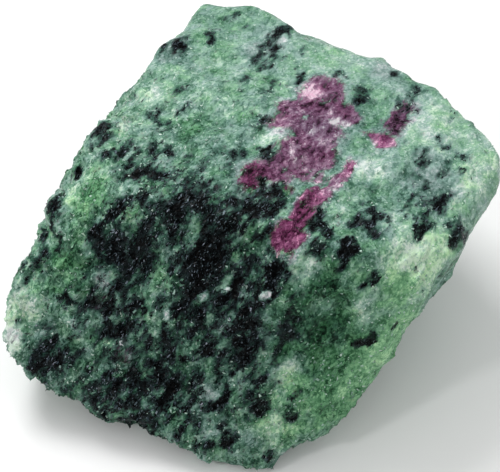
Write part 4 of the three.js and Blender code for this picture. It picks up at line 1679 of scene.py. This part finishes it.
    def turn(self, tree: Shaping, normal: Feed) -> Socket:
        """How each grain is turned: flat on the stone, along the layers, then a little astray.

        Args:
            tree: The tree that this is added to.
            normal: The stone's normal.

        Returns:
            The rotation.
        """
        streak = tree.vector("CROSS_PRODUCT", tuple(ACROSS_LAYERS), normal)
        upright = tree.add("FunctionNodeAlignRotationToVector", {"Vector": normal}, axis="Z")
        inputs = {"Rotation": upright.outputs[0], "Vector": streak}
        along = tree.add("FunctionNodeAlignRotationToVector", inputs, axis="X", pivot_axis="Z")
        lean = tree.math("MULTIPLY", tree.read(Field.ROUGH), tree.asks("Lean", self.lean))
        spin = tree.asks("Spin", self.spin)
        reach = tree.add("ShaderNodeCombineXYZ", {0: lean, 1: lean, 2: spin}).outputs[0]
        chances = tree.chances(self.seed + Draw.TURN.value, -1.0, 1.0)
        astray = tree.add("FunctionNodeEulerToRotation", {0: tree.vector("MULTIPLY", chances, reach)})
        inputs = {"Rotation": along.outputs[0], "Rotate By": astray.outputs[0]}
        return tree.add("FunctionNodeRotateRotation", inputs, rotation_space="LOCAL").outputs[0]


# The grains that stand out of the stone, each kind where its mineral is.
CRUSTS = (
    GrainCrust(
        name="deep_zoisite_grains",
        finish=GrainFinish("deep_zoisite_grains", 0.68),
        field=None,
        keep=(0.0, 1.0),
        shun=((Field.DARK, 0.2, 0.76), (Field.RED, 0.24, 0.7), (Field.TONE, 0.54, 0.6)),
        count=14.0,
        spacing=0.24,
        size=(0.62, 0.42, 0.3),
        spread=(0.4, 1.6),
        sink=0.56,
        lean=0.5,
        spin=0.9,
        seed=11,
    ),
    GrainCrust(
        name="pale_zoisite_grains",
        finish=GrainFinish("pale_zoisite_grains", 0.46),
        field=Field.TONE,
        keep=(0.54, 0.6),
        shun=((Field.DARK, 0.2, 0.76), (Field.RED, 0.24, 0.7)),
        count=16.0,
        spacing=0.22,
        size=(0.48, 0.42, 0.3),
        spread=(0.4, 1.6),
        sink=0.6,
        lean=0.45,
        spin=1.6,
        seed=17,
    ),
    GrainCrust(
        name="hornblende_blades",
        finish=GrainFinish(
            "hornblende_blades", 0.5, dark_swing=1.0, dark_lift=0.04, gloss=(0.25, 0.5), shine=0.03
        ),
        field=Field.DARK,
        keep=(0.18, 0.72),
        shun=((Field.RED, 0.5, 0.7),),
        count=26.0,
        spacing=0.16,
        size=(0.58, 0.27, 0.22),
        spread=(0.4, 1.6),
        sink=0.52,
        lean=0.5,
        spin=0.5,
        seed=23,
    ),
    GrainCrust(
        name="ruby_grains",
        finish=GrainFinish("ruby_grains", 0.9, red_swing=0.3),
        field=Field.RED,
        keep=(0.24, 0.7),
        shun=(),
        count=34.0,
        spacing=0.14,
        size=(0.54, 0.17, 0.16),
        spread=(0.5, 1.5),
        sink=0.3,
        lean=0.4,
        spin=0.6,
        seed=37,
    ),
    # Real flakes whose pale paint is partly painted highlight, in place of glints off cleavage faces.
    GrainCrust(
        name="cleavage_flakes",
        finish=GrainFinish("cleavage_flakes", 0.7, shine=0.2, own=CLEAVAGE_AND_GLINT, own_tone=0.2, follows=0.45),
        field=Field.TONE,
        keep=(0.2, 0.6),
        shun=((Field.RED, 0.3, 0.9), (Field.DARK, 0.3, 0.7)),
        count=4.0,
        spacing=0.18,
        size=(0.36, 0.2, 0.11),
        spread=(0.3, 1.6),
        sink=0.2,
        lean=0.4,
        spin=1.6,
        seed=51,
    ),
    # Flakes on the hornblende whose light grey paint is painted highlight, with a little real gloss as well.
    GrainCrust(
        name="hornblende_glints",
        finish=GrainFinish("hornblende_glints", 1.0, gloss=(0.2, 0.4), shine=0.1, own=GLINT, own_tone=0.46),
        field=Field.DARK,
        keep=(0.16, 0.5),
        shun=((Field.DARK, 0.84, 1.14),),
        count=22.0,
        spacing=0.1,
        size=(0.4, 0.14, 0.09),
        spread=(0.3, 1.8),
        sink=0.1,
        lean=0.35,
        spin=0.5,
        seed=67,
    ),
)


@dataclass
class Stone:
    """The whole stone.

    Attributes:
        surface: Its own surface.
        minerals: Where each mineral lies.
        finish: The finish of its own surface.
        crusts: The grains that stand out of it.
    """

    surface: StoneSurface
    minerals: MineralMap
    finish: RockFinish
    crusts: tuple[GrainCrust, ...]

    def build(self, node: Object, view: Viewpoint) -> list[Object]:
        """Builds and dresses every piece of the stone.

        Args:
            node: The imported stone.
            view: Where the mineral patches are seen from.

        Returns:
            The pieces, at their real size.
        """
        body = self.surface.build(node)
        bpy.context.view_layer.update()
        self.minerals.lay_on(body, view)
        pieces = [body, *(crust.build(body) for crust in self.crusts)]
        body.data.materials.append(self.finish.make())
        body.data.shade_smooth()
        for piece in pieces:
            piece.data.transform(Matrix.Scale(MM, 4))
        return pieces


# ---- Studio ------------------------------------------------


@dataclass(frozen=True)
class Lamp:
    """A square soft light.

    Attributes:
        name: Its name.
        at: Where it hangs.
        side: How wide it is.
        power: Its power, in watts.
    """

    name: str
    at: Place
    side: float
    power: float

    def make(self, target: Vector) -> None:
        """Makes the lamp.

        Args:
            target: The place that it faces, in metres.
        """
        data = bpy.data.lights.new(self.name, "AREA")
        data.shape = "SQUARE"
        data.size = self.side * MM
        data.energy = self.power
        lamp = bpy.data.objects.new(self.name, data)
        lamp.location = Vector(self.at) * MM
        lamp.rotation_euler = (target - lamp.location).to_track_quat("-Z", "Y").to_euler()
        bpy.context.scene.collection.objects.link(lamp)


@dataclass(frozen=True)
class Studio:
    """The pale floor, the soft dome of light overhead and the lamps.

    Attributes:
        floor_side: The floor's side.
        floor_shade: How light the floor is.
        floor_roughness: How dull it is.
        horizon: How bright the surroundings are at the horizon.
        zenith: How bright they are overhead.
        lit: The place that the lamps face.
        lamps: The lamps.
    """

    floor_side: float = 6000.0
    floor_shade: float = 0.92
    floor_roughness: float = 0.8
    horizon: float = 0.1
    zenith: float = 0.85
    lit: Place = (0.0, 0.0, 10.0)
    lamps: tuple[Lamp, ...] = (
        Lamp("key", (-120.0, 170.0, 300.0), 150.0, 0.85),
        Lamp("left_lamp", (-240.0, -160.0, 230.0), 40.0, 0.2),
        Lamp("right_lamp", (240.0, -60.0, 120.0), 160.0, 0.1),
    )

    def build(self) -> None:
        """Makes the floor, the lamps and the surroundings."""
        self.make_floor()
        for lamp in self.lamps:
            lamp.make(Vector(self.lit) * MM)
        self.make_dome()
        bpy.context.scene.view_settings.view_transform = "Standard"

    def make_dome(self) -> None:
        """Makes the surroundings, which grow brighter towards the zenith."""
        world = bpy.data.worlds.new("studio")
        world.use_nodes = True
        graph = Graph(world.node_tree)
        light = world.node_tree.nodes["Background"]
        direction = graph.add("ShaderNodeTexCoord").outputs["Generated"]
        glow = graph.map_to(graph.level(direction), (0.0, 1.0), (self.horizon, self.zenith))
        graph.feed(light.inputs["Strength"], glow)
        graph.feed(light.inputs["Color"], (1.0, 1.0, 1.0, 1.0))
        bpy.context.scene.world = world

    def make_floor(self) -> None:
        """Makes the plain floor that the stone rests on."""
        half = self.floor_side / 2 * MM
        edge = [(-half, -half, 0), (half, -half, 0), (half, half, 0), (-half, half, 0)]
        mesh = bpy.data.meshes.new("floor")
        mesh.from_pydata(edge, [], [(0, 1, 2, 3)])
        coat = Coat("floor")
        coat.feed(coat.shader.inputs["Base Color"], (self.floor_shade,) * 3 + (1.0,))
        coat.feed(coat.shader.inputs["Roughness"], self.floor_roughness)
        mesh.materials.append(coat.material)
        floor = bpy.data.objects.new("floor", mesh)
        bpy.context.scene.collection.objects.link(floor)


def count_triangles(mesh: Mesh) -> int:
    """How many triangles a mesh's faces come to."""
    return sum(len(face.vertices) - 2 for face in mesh.polygons)


def corners(box: tuple[Vector, Vector]) -> list[list[float]]:
    """A box's lowest and highest corner as plain lists."""
    return [list(corner) for corner in box]


def main() -> None:
    """Builds the view, the stone and the studio."""
    logging.basicConfig(level=logging.INFO, format="%(name)s: %(message)s")
    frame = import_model()
    view = Viewpoint()
    view.make_camera()
    log.info("camera")
    stone = Stone(StoneSurface(), MineralMap(), RockFinish(), CRUSTS)
    for piece in stone.build(frame["nodes"][STONE_NODE], view):
        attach(piece, STONE_BODY)
        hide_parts(STONE_NODE)
        log.info("%s: %d triangles", piece.name, count_triangles(piece.data))
    Studio().build()
    log.info("studio")
    bpy.context.view_layer.update()


if __name__ == "__main__":
    main()
